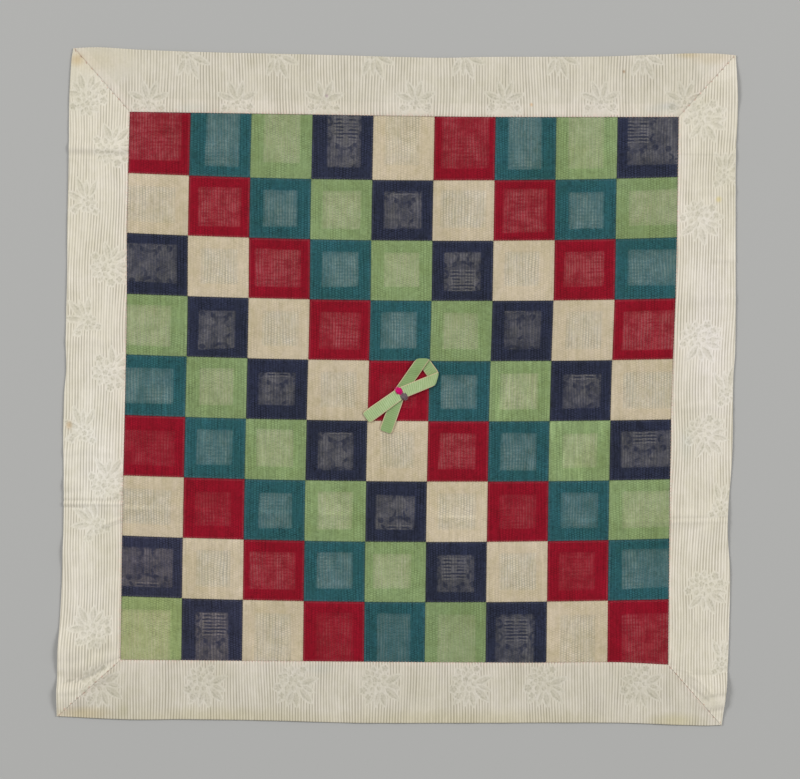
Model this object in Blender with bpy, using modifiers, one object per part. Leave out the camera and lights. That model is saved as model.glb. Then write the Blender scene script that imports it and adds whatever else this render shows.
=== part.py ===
"""Pojagi wrapping cloth: a patchwork square, a mitred border and a ribbon loop tacked on top.

The cloth lies flat and face up in the XY plane, with its top edge towards +Y and +Z up.
Lengths in the tables are millimetres, and MM turns them into the metres that Blender uses.
"""

import math
from collections import namedtuple

import bmesh
import bpy
from mathutils import Vector

MM = 0.001

# Layers of cloth, and the gap kept between separate pieces.
PANEL_THICK = 1.2
BORDER_THICK = 1.8
RIBBON_THICK = 1.0
GAP = 0.3

# Corners of the whole cloth and of the patchwork inside it: x, y.
CLOTH_CORNERS = {
    "top_left": (-294.2, 307.5),
    "top_right": (307.8, 301.0),
    "bottom_right": (295.0, -307.7),
    "bottom_left": (-309.3, -299.6),
}
PANEL_CORNERS = {
    "top_left": (-243.1, 249.7),
    "top_right": (255.8, 245.0),
    "bottom_right": (246.3, -252.8),
    "bottom_left": (-251.5, -248.3),
}

# Each side of the square: the corner it starts at, the corner it ends at, and which way is out.
Side = namedtuple("Side", "start end outward")
SIDES = {
    "top": Side("top_left", "top_right", (0, 1)),
    "right": Side("top_right", "bottom_right", (1, 0)),
    "bottom": Side("bottom_left", "bottom_right", (0, -1)),
    "left": Side("top_left", "bottom_left", (-1, 0)),
}

# How far each edge strays from the straight line between its corners:
# share of the way along the side, distance outwards.
Stray = namedtuple("Stray", "share out")
CLOTH_EDGES = {
    "top": (
        Stray(0.00, 0.0), Stray(0.04, 1.0), Stray(0.10, -0.8), Stray(0.20, -2.4),
        Stray(0.36, -3.5), Stray(0.55, -5.2), Stray(0.63, -3.9), Stray(0.80, -2.4),
        Stray(0.92, 1.0), Stray(0.97, 1.3), Stray(1.00, 0.0),
    ),
    "right": (
        Stray(0.00, 0.0), Stray(0.08, 2.7), Stray(0.15, 1.8), Stray(0.30, 3.6),
        Stray(0.44, 5.0), Stray(0.48, 3.9), Stray(0.60, 4.2), Stray(0.70, 1.2),
        Stray(0.77, 4.4), Stray(0.85, 4.8), Stray(0.93, 3.8), Stray(1.00, 0.0),
    ),
    "bottom": (
        Stray(0.00, 0.0), Stray(0.11, 2.1), Stray(0.20, 1.2), Stray(0.33, 1.4),
        Stray(0.45, 2.4), Stray(0.62, 1.1), Stray(0.84, -0.8), Stray(0.97, 0.7),
        Stray(1.00, 0.0),
    ),
    "left": (
        Stray(0.00, 0.0), Stray(0.02, 1.6), Stray(0.08, 2.6), Stray(0.16, 1.7),
        Stray(0.26, 1.5), Stray(0.34, 0.5), Stray(0.44, 0.4), Stray(0.48, -0.8),
        Stray(0.52, 0.6), Stray(0.59, 0.3), Stray(0.67, -1.5), Stray(0.80, -1.6),
        Stray(0.92, 0.5), Stray(1.00, 0.0),
    ),
}
PANEL_EDGES = {
    "top": (Stray(0.0, 0.0), Stray(0.2, -0.5), Stray(0.6, -1.6), Stray(0.8, -1.0), Stray(1.0, 0.0)),
    "right": (Stray(0.0, 0.0), Stray(0.3, 0.5), Stray(0.5, -1.3), Stray(0.7, -1.3), Stray(1.0, 0.0)),
    "bottom": (Stray(0.0, 0.0), Stray(0.5, -0.2), Stray(0.75, -0.7), Stray(0.9, -1.8), Stray(1.0, 0.0)),
    "left": (Stray(0.0, 0.0), Stray(0.2, 0.7), Stray(0.4, -0.4), Stray(0.7, 0.4), Stray(1.0, 0.0)),
}

# Places where an edge stands up off the surface: centre, reach each way, height.
Lift = namedtuple("Lift", "x y reach_x reach_y height")
LIFTS = (
    Lift(-311, -281, 46, 19, 4.4),   # left edge, beside the bottom corner
    Lift(-310, -239, 40, 22, 3.6),   # left edge, above the corner crease
    Lift(-306, -150, 26, 17, 1.8),   # left edge, low
    Lift(-304, -90, 24, 10, 1.6),    # left edge, above the long fold
    Lift(300, -279, 44, 23, 4.6),    # right edge, beside the bottom corner
    Lift(301, -122, 34, 30, 1.8),    # right edge, across the long fold
    Lift(309, 272, 30, 26, 2.0),     # right edge, below the top corner
)

# Fold marks, as soft ridges along a line: half-width, height, points on the line.
Ridge = namedtuple("Ridge", "half_width height line")
RIDGES = (
    Ridge(11, 1.0, ((-305, -102), (-250, -109), (0, -117), (200, -122), (303, -119))),
    Ridge(11, 0.8, ((-298, 214), (307, 209))),
    Ridge(9, 0.7, ((-264, 14), (-246, 15))),
    Ridge(9, 0.6, ((254, 80), (306, 81))),
)

# Cells of each sheet: along its length, across its width.
PANEL_CELLS = (12, 72)
SIDE_BORDER_CELLS = (72, 4)
END_BORDER_CELLS = (36, 4)

# The ribbon, as straight legs laid end to end from its first free end.
# Heading is in degrees from +X. Heights are of the ribbon's middle above the patchwork's top.
# The ramp is the share of the leg where the height changes from its first to its last value.
Leg = namedtuple("Leg", "length heading width_start width_end height_start height_end ramp")
RIBBON_START = (-28.3, -28.6)
LAYER_LOW = GAP + RIBBON_THICK / 2
LAYER_STEP = RIBBON_THICK + 0.4
LAYER_HIGH = LAYER_LOW + LAYER_STEP
RIBBON_LEGS = (
    Leg(39.0, 35.5, 12.0, 10.8, LAYER_LOW, LAYER_HIGH, (0.12, 0.42)),
    Leg(34.5, 21.9, 10.8, 10.5, LAYER_HIGH, LAYER_HIGH, (0.0, 1.0)),
    Leg(21.5, 125.1, 10.5, 10.4, LAYER_LOW, LAYER_LOW, (0.0, 1.0)),
    Leg(36.5, 235.2, 10.4, 10.8, LAYER_HIGH, LAYER_LOW, (0.25, 0.52)),
    Leg(38.0, 250.2, 10.8, 12.0, LAYER_LOW, LAYER_LOW, (0.0, 1.0)),
)
ROWS_PER_LEG = 8
ROWS_PER_FOLD = 6
RIBBON_CELLS_ACROSS = 3

# The two thread tacks, side by side across the top layer of the ribbon.
Tack = namedtuple("Tack", "x y half_length half_width")
TACKS = {
    "tack_pink": Tack(2.3, -3.8, 3.0, 3.0),
    "tack_grey": Tack(6.5, -8.5, 3.0, 2.9),
}
TACK_HEADING = -46.0
TACK_HEIGHT = 1.5
TACK_ROUNDING = 0.6
TACK_SIDES = 20

# Colour, roughness of each sub-part's material.
FINISHES = {
    "patchwork_panel": ((0.30, 0.20, 0.22), 0.85),
    "border_top": ((0.79, 0.76, 0.66), 0.80),
    "border_bottom": ((0.79, 0.76, 0.66), 0.80),
    "border_left": ((0.79, 0.76, 0.66), 0.80),
    "border_right": ((0.79, 0.76, 0.66), 0.80),
    "ribbon_loop": ((0.40, 0.52, 0.28), 0.75),
    "tack_pink": ((0.78, 0.01, 0.17), 0.60),
    "tack_grey": ((0.15, 0.11, 0.13), 0.70),
}


def clear_scene():
    """Remove what the file opened with."""
    for item in list(bpy.data.objects):
        bpy.data.objects.remove(item, do_unlink=True)


def make_material(name):
    """A plain finish in the sub-part's own colour."""
    colour, roughness = FINISHES[name]
    material = bpy.data.materials.new(name)
    material.use_nodes = True
    shader = material.node_tree.nodes["Principled BSDF"]
    shader.inputs["Base Color"].default_value = (*colour, 1.0)
    shader.inputs["Roughness"].default_value = roughness
    shader.inputs["Metallic"].default_value = 0.0
    return material


def smooth_step(value):
    """0 below 0, 1 above 1, with an easy curve between."""
    value = min(max(value, 0.0), 1.0)
    return value * value * (3.0 - 2.0 * value)


def hump(value):
    """1 at 0, falling softly to 0 at 1 and beyond."""
    return (1.0 - value * value) ** 2 if abs(value) < 1.0 else 0.0


def stray_at(table, share):
    """Read a table of strays at any share of the side, on a smooth curve through its rows."""
    last = len(table) - 2
    index = next((i for i in range(last + 1) if share <= table[i + 1].share), last)
    before = table[max(index - 1, 0)]
    here = table[index]
    there = table[index + 1]
    after = table[min(index + 2, last + 1)]
    span = there.share - here.share
    slope_here = (there.out - before.out) / (there.share - before.share)
    slope_there = (after.out - here.out) / (after.share - here.share)
    t = (share - here.share) / span
    start_part = (2 * t ** 3 - 3 * t ** 2 + 1) * here.out + (t ** 3 - 2 * t ** 2 + t) * span * slope_here
    end_part = (3 * t ** 2 - 2 * t ** 3) * there.out + (t ** 3 - t ** 2) * span * slope_there
    return start_part + end_part


def edge_point(corners, edges, side_name, share):
    """A point of one uneven edge, in millimetres."""
    side = SIDES[side_name]
    start = Vector(corners[side.start])
    end = Vector(corners[side.end])
    return start.lerp(end, share) + Vector(side.outward) * stray_at(edges[side_name], share)


def distance_to_line(point, line):
    """Shortest distance in plan from a point to a run of straight stretches."""
    shortest = math.inf
    for start, end in zip(line, line[1:]):
        along = Vector(end) - Vector(start)
        share = (point - Vector(start)).dot(along) / along.length_squared
        nearest = Vector(start) + along * min(max(share, 0.0), 1.0)
        shortest = min(shortest, (point - nearest).length)
    return shortest


def lift_at(point):
    """Height of the cloth's underside above the surface it lies on."""
    height = 0.0
    for lift in LIFTS:
        across = math.hypot((point.x - lift.x) / lift.reach_x, (point.y - lift.y) / lift.reach_y)
        height = max(height, lift.height * hump(across))
    for ridge in RIDGES:
        height = max(height, ridge.height * hump(distance_to_line(point, ridge.line) / ridge.half_width))
    return height


def make_sheet(name, cells, place, thickness, offset):
    """A flat grid whose points are moved to place(u, v), then thickened into a solid sheet."""
    columns, rows = cells
    form = bmesh.new()
    bmesh.ops.create_grid(form, x_segments=columns, y_segments=rows, size=0.5)
    for vert in form.verts:
        vert.co = place(vert.co.x + 0.5, vert.co.y + 0.5) * MM
    mesh = bpy.data.meshes.new(name)
    form.to_mesh(mesh)
    form.free()
    mesh.materials.append(make_material(name))
    sheet = bpy.data.objects.new(name, mesh)
    solidify = sheet.modifiers.new("Thickness", "SOLIDIFY")
    solidify.thickness = thickness * MM
    solidify.offset = offset
    return sheet


def place_on_cloth(point):
    """Stand a point of the plan at the height of the cloth's underside there."""
    return Vector((point.x, point.y, lift_at(point)))


def make_panel():
    """The patchwork, stretched between its four uneven edges."""
    half_gap = GAP / 2

    def place(u, v):
        down = 1.0 - v
        top = edge_point(PANEL_CORNERS, PANEL_EDGES, "top", u)
        bottom = edge_point(PANEL_CORNERS, PANEL_EDGES, "bottom", u)
        left = edge_point(PANEL_CORNERS, PANEL_EDGES, "left", down)
        right = edge_point(PANEL_CORNERS, PANEL_EDGES, "right", down)
        upper = Vector(PANEL_CORNERS["top_left"]).lerp(Vector(PANEL_CORNERS["top_right"]), u)
        lower = Vector(PANEL_CORNERS["bottom_left"]).lerp(Vector(PANEL_CORNERS["bottom_right"]), u)
        point = top.lerp(bottom, down) + left.lerp(right, u) - upper.lerp(lower, down)
        inset = Vector(((0.5 - u) * 2 * half_gap, (0.5 - v) * 2 * half_gap))
        return place_on_cloth(point + inset)

    return make_sheet("patchwork_panel", PANEL_CELLS, place, PANEL_THICK, 1.0)


def make_border(side_name, cells):
    """One border strip, from the cloth's edge in to the patchwork, cut at both mitres."""
    half_gap = GAP / 2
    side = SIDES[side_name]
    length = (Vector(CLOTH_CORNERS[side.end]) - Vector(CLOTH_CORNERS[side.start])).length
    trim = half_gap * math.sqrt(2.0) / length
    turned = side_name in ("bottom", "left")

    def place(u, v):
        share = trim + (1.0 - 2.0 * trim) * u
        outer = edge_point(CLOTH_CORNERS, CLOTH_EDGES, side_name, share)
        inner = edge_point(PANEL_CORNERS, PANEL_EDGES, side_name, share)
        inner = inner + Vector(side.outward) * half_gap
        return place_on_cloth(outer.lerp(inner, v if turned else 1.0 - v))

    return make_sheet("border_" + side_name, cells, place, BORDER_THICK, 1.0)


def heading_vector(degrees):
    return Vector((math.cos(math.radians(degrees)), math.sin(math.radians(degrees))))


def joint_row(before, after):
    """The line that two legs share: the fold itself, or the mitre of a slight bend."""
    turn = after.heading - before.heading
    is_fold = abs(turn) > 45.0
    line = heading_vector((before.heading + after.heading) / 2.0 + (0.0 if is_fold else 90.0))
    return line, is_fold


def leg_rows(leg, start, start_row, end_row, base):
    """Centre, cross direction and height of each row of one leg."""
    heading = heading_vector(leg.heading)
    rows = []
    for step in range(ROWS_PER_LEG + 1):
        share = step / ROWS_PER_LEG
        centre = start + heading * leg.length * share
        across = start_row.lerp(end_row, share)
        width = leg.width_start + (leg.width_end - leg.width_start) * share
        ramp = smooth_step((share - leg.ramp[0]) / (leg.ramp[1] - leg.ramp[0]))
        height = base + leg.height_start + (leg.height_end - leg.height_start) * ramp
        rows.append((centre, across * width, height))
    return rows


def fold_rows(last_row, heading, rise):
    """Rows wrapped half round a thin cylinder that lies along the fold."""
    centre, across, height = last_row
    outward = Vector((-across.y, across.x)).normalized()
    if outward.dot(heading) < 0:
        outward.negate()
    radius = abs(rise) / 2.0
    rows = []
    for step in range(1, ROWS_PER_FOLD):
        angle = math.pi * step / ROWS_PER_FOLD
        rise_here = math.copysign(radius * (1.0 - math.cos(angle)), rise)
        rows.append((centre + outward * radius * math.sin(angle), across, height + rise_here))
    return rows


def ribbon_rows():
    """All rows of the ribbon, from one free end to the other."""
    rows = []
    start = Vector(RIBBON_START)
    side = 1.0
    row = heading_vector(RIBBON_LEGS[0].heading + 90.0)
    for index, leg in enumerate(RIBBON_LEGS):
        normal = heading_vector(leg.heading + 90.0) * side
        if index + 1 < len(RIBBON_LEGS):
            line, is_fold = joint_row(leg, RIBBON_LEGS[index + 1])
        else:
            line, is_fold = normal, False
        end_row = line / line.dot(normal)
        leg_part = leg_rows(leg, start, row, end_row, PANEL_THICK)
        rows += leg_part if not rows or rows[-1][2] != leg_part[0][2] else leg_part[1:]
        if is_fold:
            rise = RIBBON_LEGS[index + 1].height_start - leg.height_end
            rows += fold_rows(leg_part[-1], heading_vector(leg.heading), rise)
            side = -side
        start = leg_part[-1][0]
        row = end_row
    return rows


def make_ribbon():
    """The ribbon loop: one strip, folded over twice and crossing itself once."""
    rows = ribbon_rows()
    last = len(rows) - 1

    def place(u, v):
        centre, across, height = rows[round(u * last)]
        point = centre + across * (v - 0.5)
        return Vector((point.x, point.y, height))

    return make_sheet("ribbon_loop", (last, RIBBON_CELLS_ACROSS), place, RIBBON_THICK, 0.0)


def make_tack(name):
    """A pad of wrapped thread on top of the ribbon's upper layer."""
    tack = TACKS[name]
    underside = PANEL_THICK + LAYER_HIGH + RIBBON_THICK / 2 + GAP
    bpy.ops.mesh.primitive_cylinder_add(vertices=TACK_SIDES, radius=MM, depth=TACK_HEIGHT * MM)
    pad = bpy.context.object
    pad.name = name
    pad.data.name = name
    for vert in pad.data.vertices:
        vert.co.x *= tack.half_length
        vert.co.y *= tack.half_width
    pad.location = Vector((tack.x, tack.y, underside + TACK_HEIGHT / 2)) * MM
    pad.rotation_euler.z = math.radians(TACK_HEADING)
    pad.data.materials.append(make_material(name))
    rounding = pad.modifiers.new("Rounded rims", "BEVEL")
    rounding.width = TACK_ROUNDING * MM
    rounding.segments = 2
    rounding.limit_method = "ANGLE"
    for owner in list(pad.users_collection):
        owner.objects.unlink(pad)
    return pad


def centre_in_plan(parts):
    """Put the middle of the whole cloth's box over the origin."""
    bpy.context.view_layer.update()
    graph = bpy.context.evaluated_depsgraph_get()
    corners = [part.matrix_world @ Vector(corner)
               for part in parts
               for corner in part.evaluated_get(graph).bound_box]
    middle_x = (min(c.x for c in corners) + max(c.x for c in corners)) / 2
    middle_y = (min(c.y for c in corners) + max(c.y for c in corners)) / 2
    for part in parts:
        part.location.x -= middle_x
        part.location.y -= middle_y


def build():
    clear_scene()
    parts = [make_panel()]
    parts += [make_border(name, END_BORDER_CELLS) for name in ("top", "bottom")]
    parts += [make_border(name, SIDE_BORDER_CELLS) for name in ("left", "right")]
    parts.append(make_ribbon())
    parts += [make_tack(name) for name in TACKS]
    collection = bpy.data.collections.new("pojagi_wrapping_cloth")
    bpy.context.scene.collection.children.link(collection)
    for part in parts:
        collection.objects.link(part)
    centre_in_plan(parts)


build()
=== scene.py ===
# %% [markdown]
# # A pojagi wrapping cloth
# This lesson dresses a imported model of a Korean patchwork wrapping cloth. The cloth lies flat and
# face up: 81 gauze squares in five colours, a wide cream border of ribbed damask with mitred
# corners, and a green ribbon loop tacked near the middle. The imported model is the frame: it gives
# every size and place. Each step below explains one piece or one finish, and then makes it.

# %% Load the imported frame
import math
from collections import namedtuple

import bpy
import numpy as np
from mathutils import Matrix, Vector


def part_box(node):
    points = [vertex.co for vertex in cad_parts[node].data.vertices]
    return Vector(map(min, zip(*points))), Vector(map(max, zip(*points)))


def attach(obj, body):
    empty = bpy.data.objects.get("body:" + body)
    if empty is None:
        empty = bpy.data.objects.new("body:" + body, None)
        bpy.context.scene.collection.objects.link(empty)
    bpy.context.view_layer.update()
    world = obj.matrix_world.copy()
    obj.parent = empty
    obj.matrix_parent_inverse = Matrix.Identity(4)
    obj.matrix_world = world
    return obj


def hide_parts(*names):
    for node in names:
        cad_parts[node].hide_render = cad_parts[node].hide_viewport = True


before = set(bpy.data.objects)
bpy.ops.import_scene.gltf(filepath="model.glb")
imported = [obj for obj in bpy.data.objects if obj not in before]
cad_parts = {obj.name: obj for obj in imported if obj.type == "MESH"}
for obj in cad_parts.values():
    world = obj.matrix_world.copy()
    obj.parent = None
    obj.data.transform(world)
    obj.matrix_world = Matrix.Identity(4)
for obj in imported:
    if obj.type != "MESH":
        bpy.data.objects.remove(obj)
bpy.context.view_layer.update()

# %% [markdown]
# ## Lengths and outlines
# A sewn cloth is easiest to think about in millimetres, so every length below is in millimetres
# until a mesh is made. The tables repeat the cloth's own outline: the corners of the cloth and of
# the patchwork inside it, and how far each hand-sewn edge strays from a straight line. Four edges
# and four corners are enough to work out every other point of the cloth.

# %% Outline of the cloth and of the patchwork
MM = 0.001

CLOTH_CORNERS = {
    "top_left": (-294.2, 307.5),
    "top_right": (307.8, 301.0),
    "bottom_right": (295.0, -307.7),
    "bottom_left": (-309.3, -299.6),
}
PANEL_CORNERS = {
    "top_left": (-243.1, 249.7),
    "top_right": (255.8, 245.0),
    "bottom_right": (246.3, -252.8),
    "bottom_left": (-251.5, -248.3),
}
Side = namedtuple("Side", "start end outward")
SIDES = {
    "top": Side("top_left", "top_right", (0, 1)),
    "right": Side("top_right", "bottom_right", (1, 0)),
    "bottom": Side("bottom_left", "bottom_right", (0, -1)),
    "left": Side("top_left", "bottom_left", (-1, 0)),
}
# Each row: share of the way along the side, distance outwards.
CLOTH_EDGES = {
    "top": (
        (0.00, 0.0), (0.04, 1.0), (0.10, -0.8), (0.20, -2.4), (0.36, -3.5), (0.55, -5.2),
        (0.63, -3.9), (0.80, -2.4), (0.92, 1.0), (0.97, 1.3), (1.00, 0.0),
    ),
    "right": (
        (0.00, 0.0), (0.08, 2.7), (0.15, 1.8), (0.30, 3.6), (0.44, 5.0), (0.48, 3.9),
        (0.60, 4.2), (0.70, 1.2), (0.77, 4.4), (0.85, 4.8), (0.93, 3.8), (1.00, 0.0),
    ),
    "bottom": (
        (0.00, 0.0), (0.11, 2.1), (0.20, 1.2), (0.33, 1.4), (0.45, 2.4), (0.62, 1.1),
        (0.84, -0.8), (0.97, 0.7), (1.00, 0.0),
    ),
    "left": (
        (0.00, 0.0), (0.02, 1.6), (0.08, 2.6), (0.16, 1.7), (0.26, 1.5), (0.34, 0.5),
        (0.44, 0.4), (0.48, -0.8), (0.52, 0.6), (0.59, 0.3), (0.67, -1.5), (0.80, -1.6),
        (0.92, 0.5), (1.00, 0.0),
    ),
}
PANEL_EDGES = {
    "top": ((0.0, 0.0), (0.2, -0.5), (0.6, -1.6), (0.8, -1.0), (1.0, 0.0)),
    "right": ((0.0, 0.0), (0.3, 0.5), (0.5, -1.3), (0.7, -1.3), (1.0, 0.0)),
    "bottom": ((0.0, 0.0), (0.5, -0.2), (0.75, -0.7), (0.9, -1.8), (1.0, 0.0)),
    "left": ((0.0, 0.0), (0.2, 0.7), (0.4, -0.4), (0.7, 0.4), (1.0, 0.0)),
}
CORNER_NAMES = ("top_left", "top_right", "bottom_right", "bottom_left")
print("corners of the cloth in millimetres:", CLOTH_CORNERS)

# %% [markdown]
# ## Reading a table as a smooth curve
# The strays are read with Hermite curves, which pass through each row of a table with no kinks.
# NumPy works on whole arrays of points, so a mesh of sixty thousand points takes no longer to
# write than one of sixty.

# %% Curves and soft shapes on arrays
def smooth_step(value):
    """0 below 0, 1 above 1, with an easy curve between."""
    value = np.clip(value, 0.0, 1.0)
    return value * value * (3.0 - 2.0 * value)


def hump(value):
    """1 at 0, falling softly to 0 at 1 and beyond."""
    return np.where(np.abs(value) < 1.0, (1.0 - np.square(value)) ** 2, 0.0)


def stray_at(table, share):
    """Read a table of strays at any shares of the side."""
    knots, outs = np.array(table).T
    order = np.arange(len(knots))
    before = np.maximum(order - 1, 0)
    after = np.minimum(order + 1, len(knots) - 1)
    slopes = (outs[after] - outs[before]) / (knots[after] - knots[before])
    here = np.clip(np.searchsorted(knots, share) - 1, 0, len(knots) - 2)
    there = here + 1
    span = knots[there] - knots[here]
    t = (share - knots[here]) / span
    start_part = (2 * t ** 3 - 3 * t ** 2 + 1) * outs[here] + (t ** 3 - 2 * t ** 2 + t) * span * slopes[here]
    end_part = (3 * t ** 2 - 2 * t ** 3) * outs[there] + (t ** 3 - t ** 2) * span * slopes[there]
    return start_part + end_part


def edge_points(corners, edges, side_name, share):
    """Points of one uneven edge: an array of x, y rows."""
    side = SIDES[side_name]
    start, end = np.array(corners[side.start]), np.array(corners[side.end])
    along = np.asarray(share)[..., None]
    stray = stray_at(edges[side_name], share)[..., None]
    return start + (end - start) * along + np.array(side.outward) * stray


def distance_to_line(x, y, line):
    """Shortest distance in plan from each point to a run of straight stretches."""
    shortest = np.full(np.shape(x), np.inf)
    for (x0, y0), (x1, y1) in zip(line, line[1:]):
        run_x, run_y = x1 - x0, y1 - y0
        share = np.clip(((x - x0) * run_x + (y - y0) * run_y) / (run_x ** 2 + run_y ** 2), 0.0, 1.0)
        shortest = np.minimum(shortest, np.hypot(x - x0 - run_x * share, y - y0 - run_y * share))
    return shortest


print("the top edge strays", stray_at(CLOTH_EDGES["top"], 0.5).round(2), "mm at its middle")

# %% [markdown]
# ## Where the cloth rises, and where it is creased
# Old silk keeps the memory of how it was folded. Each lift is a soft swelling where the edge
# stands off the table, and each ridge is the ghost of an old fold that runs right across. These
# repeat the solid parts. The finer creases after them are placed one by one: a positive height is a
# ridge, a negative one a trough. They could come from a cloth simulation, but a simulation would
# put the creases wherever it liked, and here each one has its own place. Slow waves under it all
# come from a few sines that run in different directions.

# %% Lifts, ridges and creases
Lift = namedtuple("Lift", "x y reach_x reach_y height")
LIFTS = (
    Lift(-311, -281, 46, 19, 4.4), Lift(-310, -239, 40, 22, 3.6), Lift(-306, -150, 26, 17, 1.8),
    Lift(-304, -90, 24, 10, 1.6), Lift(300, -279, 44, 23, 4.6), Lift(301, -122, 34, 30, 1.8),
    Lift(309, 272, 30, 26, 2.0),
)
Crease = namedtuple("Crease", "half_width height line")
RIDGES = (
    Crease(11, 1.0, ((-305, -102), (-250, -109), (0, -117), (200, -122), (303, -119))),
    Crease(11, 0.8, ((-298, 214), (307, 209))),
    Crease(9, 0.7, ((-264, 14), (-246, 15))),
    Crease(9, 0.6, ((254, 80), (306, 81))),
)
CREASES = (
    Crease(2.0, -0.8, ((-307, -103.0), (-249, -103.4))),
    Crease(2.6, 0.9, ((-307, -106.2), (-249, -106.6))),
    Crease(1.8, -0.6, ((-307, -109.4), (-282, -110.0))),
    Crease(2.4, 0.7, ((-268, -126.0), (-250, -119.5))),
    Crease(1.8, -0.7, ((-268, -129.5), (-250, -123.0))),
    Crease(3.0, 0.8, ((-261, -100), (-253, -98), (-248, -92))),
    Crease(6.0, 1.4, ((-306, -276), (-294, -275), (-284, -272.5), (-272, -267), (-262, -260))),
    Crease(8.0, 1.1, ((-306, -257), (-292, -257), (-278, -253), (-264, -246), (-252, -241))),
    Crease(5.0, 0.6, ((-299, 218), (-246, 216))),
    Crease(4.5, -0.7, ((-299, 211), (-246, 210))),
    Crease(4.0, 0.5, ((288, 116), (308, 115))),
    Crease(3.2, 0.7, ((265, -261), (276, -268), (286, -279))),
    Crease(3.0, -0.4, ((288, 110.5), (308, 110))),
    Crease(6.0, 0.6, ((-308, -60), (-282, -57), (-262, -60))),
    Crease(7.0, 0.6, ((-306, 40), (-280, 44), (-262, 40))),
    Crease(6.0, 0.5, ((262, -20), (284, -17), (306, -21))),
    Crease(7.0, 0.6, ((258, 228), (282, 231), (305, 227))),
    Crease(3.4, -1.5, ((-303, -267.5), (-294.5, -267), (-286, -265), (-276, -261), (-266, -254.5))),
    Crease(2.6, -0.6, ((-266, -254.5), (-251, -247))),
    Crease(2.0, -0.3, ((-286, 281), (-263, 266))),
    Crease(5.0, 0.45, ((255, 178), (307, 177))),
    Crease(2.2, -0.4, ((250, -119.4), (303, -118.4))),
    Crease(2.4, 0.35, ((250, -123.4), (303, -122.4))),
    Crease(4.2, -0.35, ((248, -254), (262, -260), (285, -262.5), (300, -257))),
    Crease(4.0, -0.8, ((281, -284), (290, -282), (303, -280))),
    Crease(3.4, 0.45, ((283, -291), (303, -287))),
    Crease(2.6, -0.5, ((284, -296), (299, -293))),
    Crease(1.6, -0.25, ((-243, -116.5), (0, -121.5), (247, -126))),
)
# The slow waves of a cloth that was smoothed out by hand: wavelength in x and in y, height.
WAVES = (
    (83.0, 117.0, 0.12), (47.0, -61.0, 0.09), (-31.0, 53.0, 0.06), (67.0, 27.0, 0.08), (-43.0, 21.0, 0.05),
)
# The waves swing about this level, which keeps most of their troughs off the table.
WAVE_LEVEL = 0.25
LOWEST_LEVEL = 0.05


def lift_at(x, y):
    """Height of the cloth's underside above the table."""
    height = np.zeros(np.shape(x))
    for lift in LIFTS:
        across = np.hypot((x - lift.x) / lift.reach_x, (y - lift.y) / lift.reach_y)
        height = np.maximum(height, lift.height * hump(across))
    for ridge in RIDGES:
        away = distance_to_line(x, y, ridge.line)
        height = np.maximum(height, ridge.height * hump(away / ridge.half_width))
    return height


def creases_at(x, y):
    """The fine creases and slow waves that the solids leave out."""
    height = np.full(np.shape(x), WAVE_LEVEL)
    for crease in CREASES:
        height += crease.height * hump(distance_to_line(x, y, crease.line) / crease.half_width)
    for length_x, length_y, rise in WAVES:
        height += rise * np.sin(2 * math.pi * (x / length_x + y / length_y))
    return height


def cloth_height(x, y):
    """Height of the cloth's underside with its creases, never below the table."""
    return np.maximum(lift_at(x, y) + creases_at(x, y), LOWEST_LEVEL)


print(len(LIFTS), "lifts,", len(RIDGES), "old folds and", len(CREASES), "fine creases")

# %% [markdown]
# ## Making meshes from arrays
# A sheet of cloth is a grid. The helper below turns an array of points, rows by columns, into a
# smooth mesh, and stores numbers on its points or face corners as attributes. An attribute can
# be read by name in a material, which is how a mesh tells its material where the ribs run.

# %% Mesh helpers
def grid_faces(rows, columns):
    """Corner numbers of the faces of a grid, one row of four for each face."""
    corner = (np.arange(rows - 1)[:, None] * columns + np.arange(columns - 1)).ravel()
    return np.stack([corner, corner + 1, corner + columns + 1, corner + columns], axis=1)


def make_mesh(name, points, faces):
    """A smooth mesh object from points in millimetres."""
    mesh = bpy.data.meshes.new(name)
    mesh.from_pydata((points.reshape(-1, 3) * MM).tolist(), [], faces.tolist())
    mesh.shade_smooth()
    piece = bpy.data.objects.new(name, mesh)
    bpy.context.scene.collection.objects.link(piece)
    print(f"{name}: {len(mesh.vertices)} points, {len(mesh.polygons)} faces")
    return piece


def store(piece, name, values, domain="POINT"):
    """Keep one number for each point or face corner."""
    attribute = piece.data.attributes.new(name, "FLOAT", domain)
    attribute.data.foreach_set("value", np.asarray(values, dtype=np.float32).ravel())


def store_colour(piece, name, colours):
    """Keep one colour for each point."""
    values = np.ones((len(piece.data.vertices), 4), dtype=np.float32)
    values[:, :3] = colours.reshape(-1, 3)
    attribute = piece.data.color_attributes.new(name, "FLOAT_COLOR", "POINT")
    attribute.data.foreach_set("color", values.ravel())


# %% [markdown]
# ## Node helpers
# Materials are built with a few short helpers: one adds a node and wires or sets its inputs, others
# do arithmetic, mix two colours or read noise, and one starts a node group with named sockets. A
# group is a small machine that several materials share, each with its own settings.

# %% Node helpers
def set_input(tree, socket, value):
    if isinstance(value, bpy.types.NodeSocket):
        tree.links.new(value, socket)
    else:
        socket.default_value = value


def add_node(tree, kind, inputs=None, **settings):
    """Add a node; inputs are values or sockets, by name or by number."""
    node = tree.nodes.new(kind)
    for key, value in settings.items():
        setattr(node, key, value)
    for key, value in (inputs or {}).items():
        set_input(tree, node.inputs[key], value)
    return node


def maths(tree, operation, first, second=0.0, third=0.0, clamp=False):
    """Arithmetic on two or three numbers; clamp keeps the answer between 0 and 1."""
    inputs = {0: first, 1: second, 2: third}
    return add_node(tree, "ShaderNodeMath", inputs, operation=operation, use_clamp=clamp).outputs[0]


def times(tree, first, second, clamp=False):
    """The product of two numbers."""
    return maths(tree, "MULTIPLY", first, second, clamp=clamp)


def times_plus(tree, first, second, third, clamp=False):
    """The product of two numbers, plus a third."""
    return maths(tree, "MULTIPLY_ADD", first, second, third, clamp)


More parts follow.
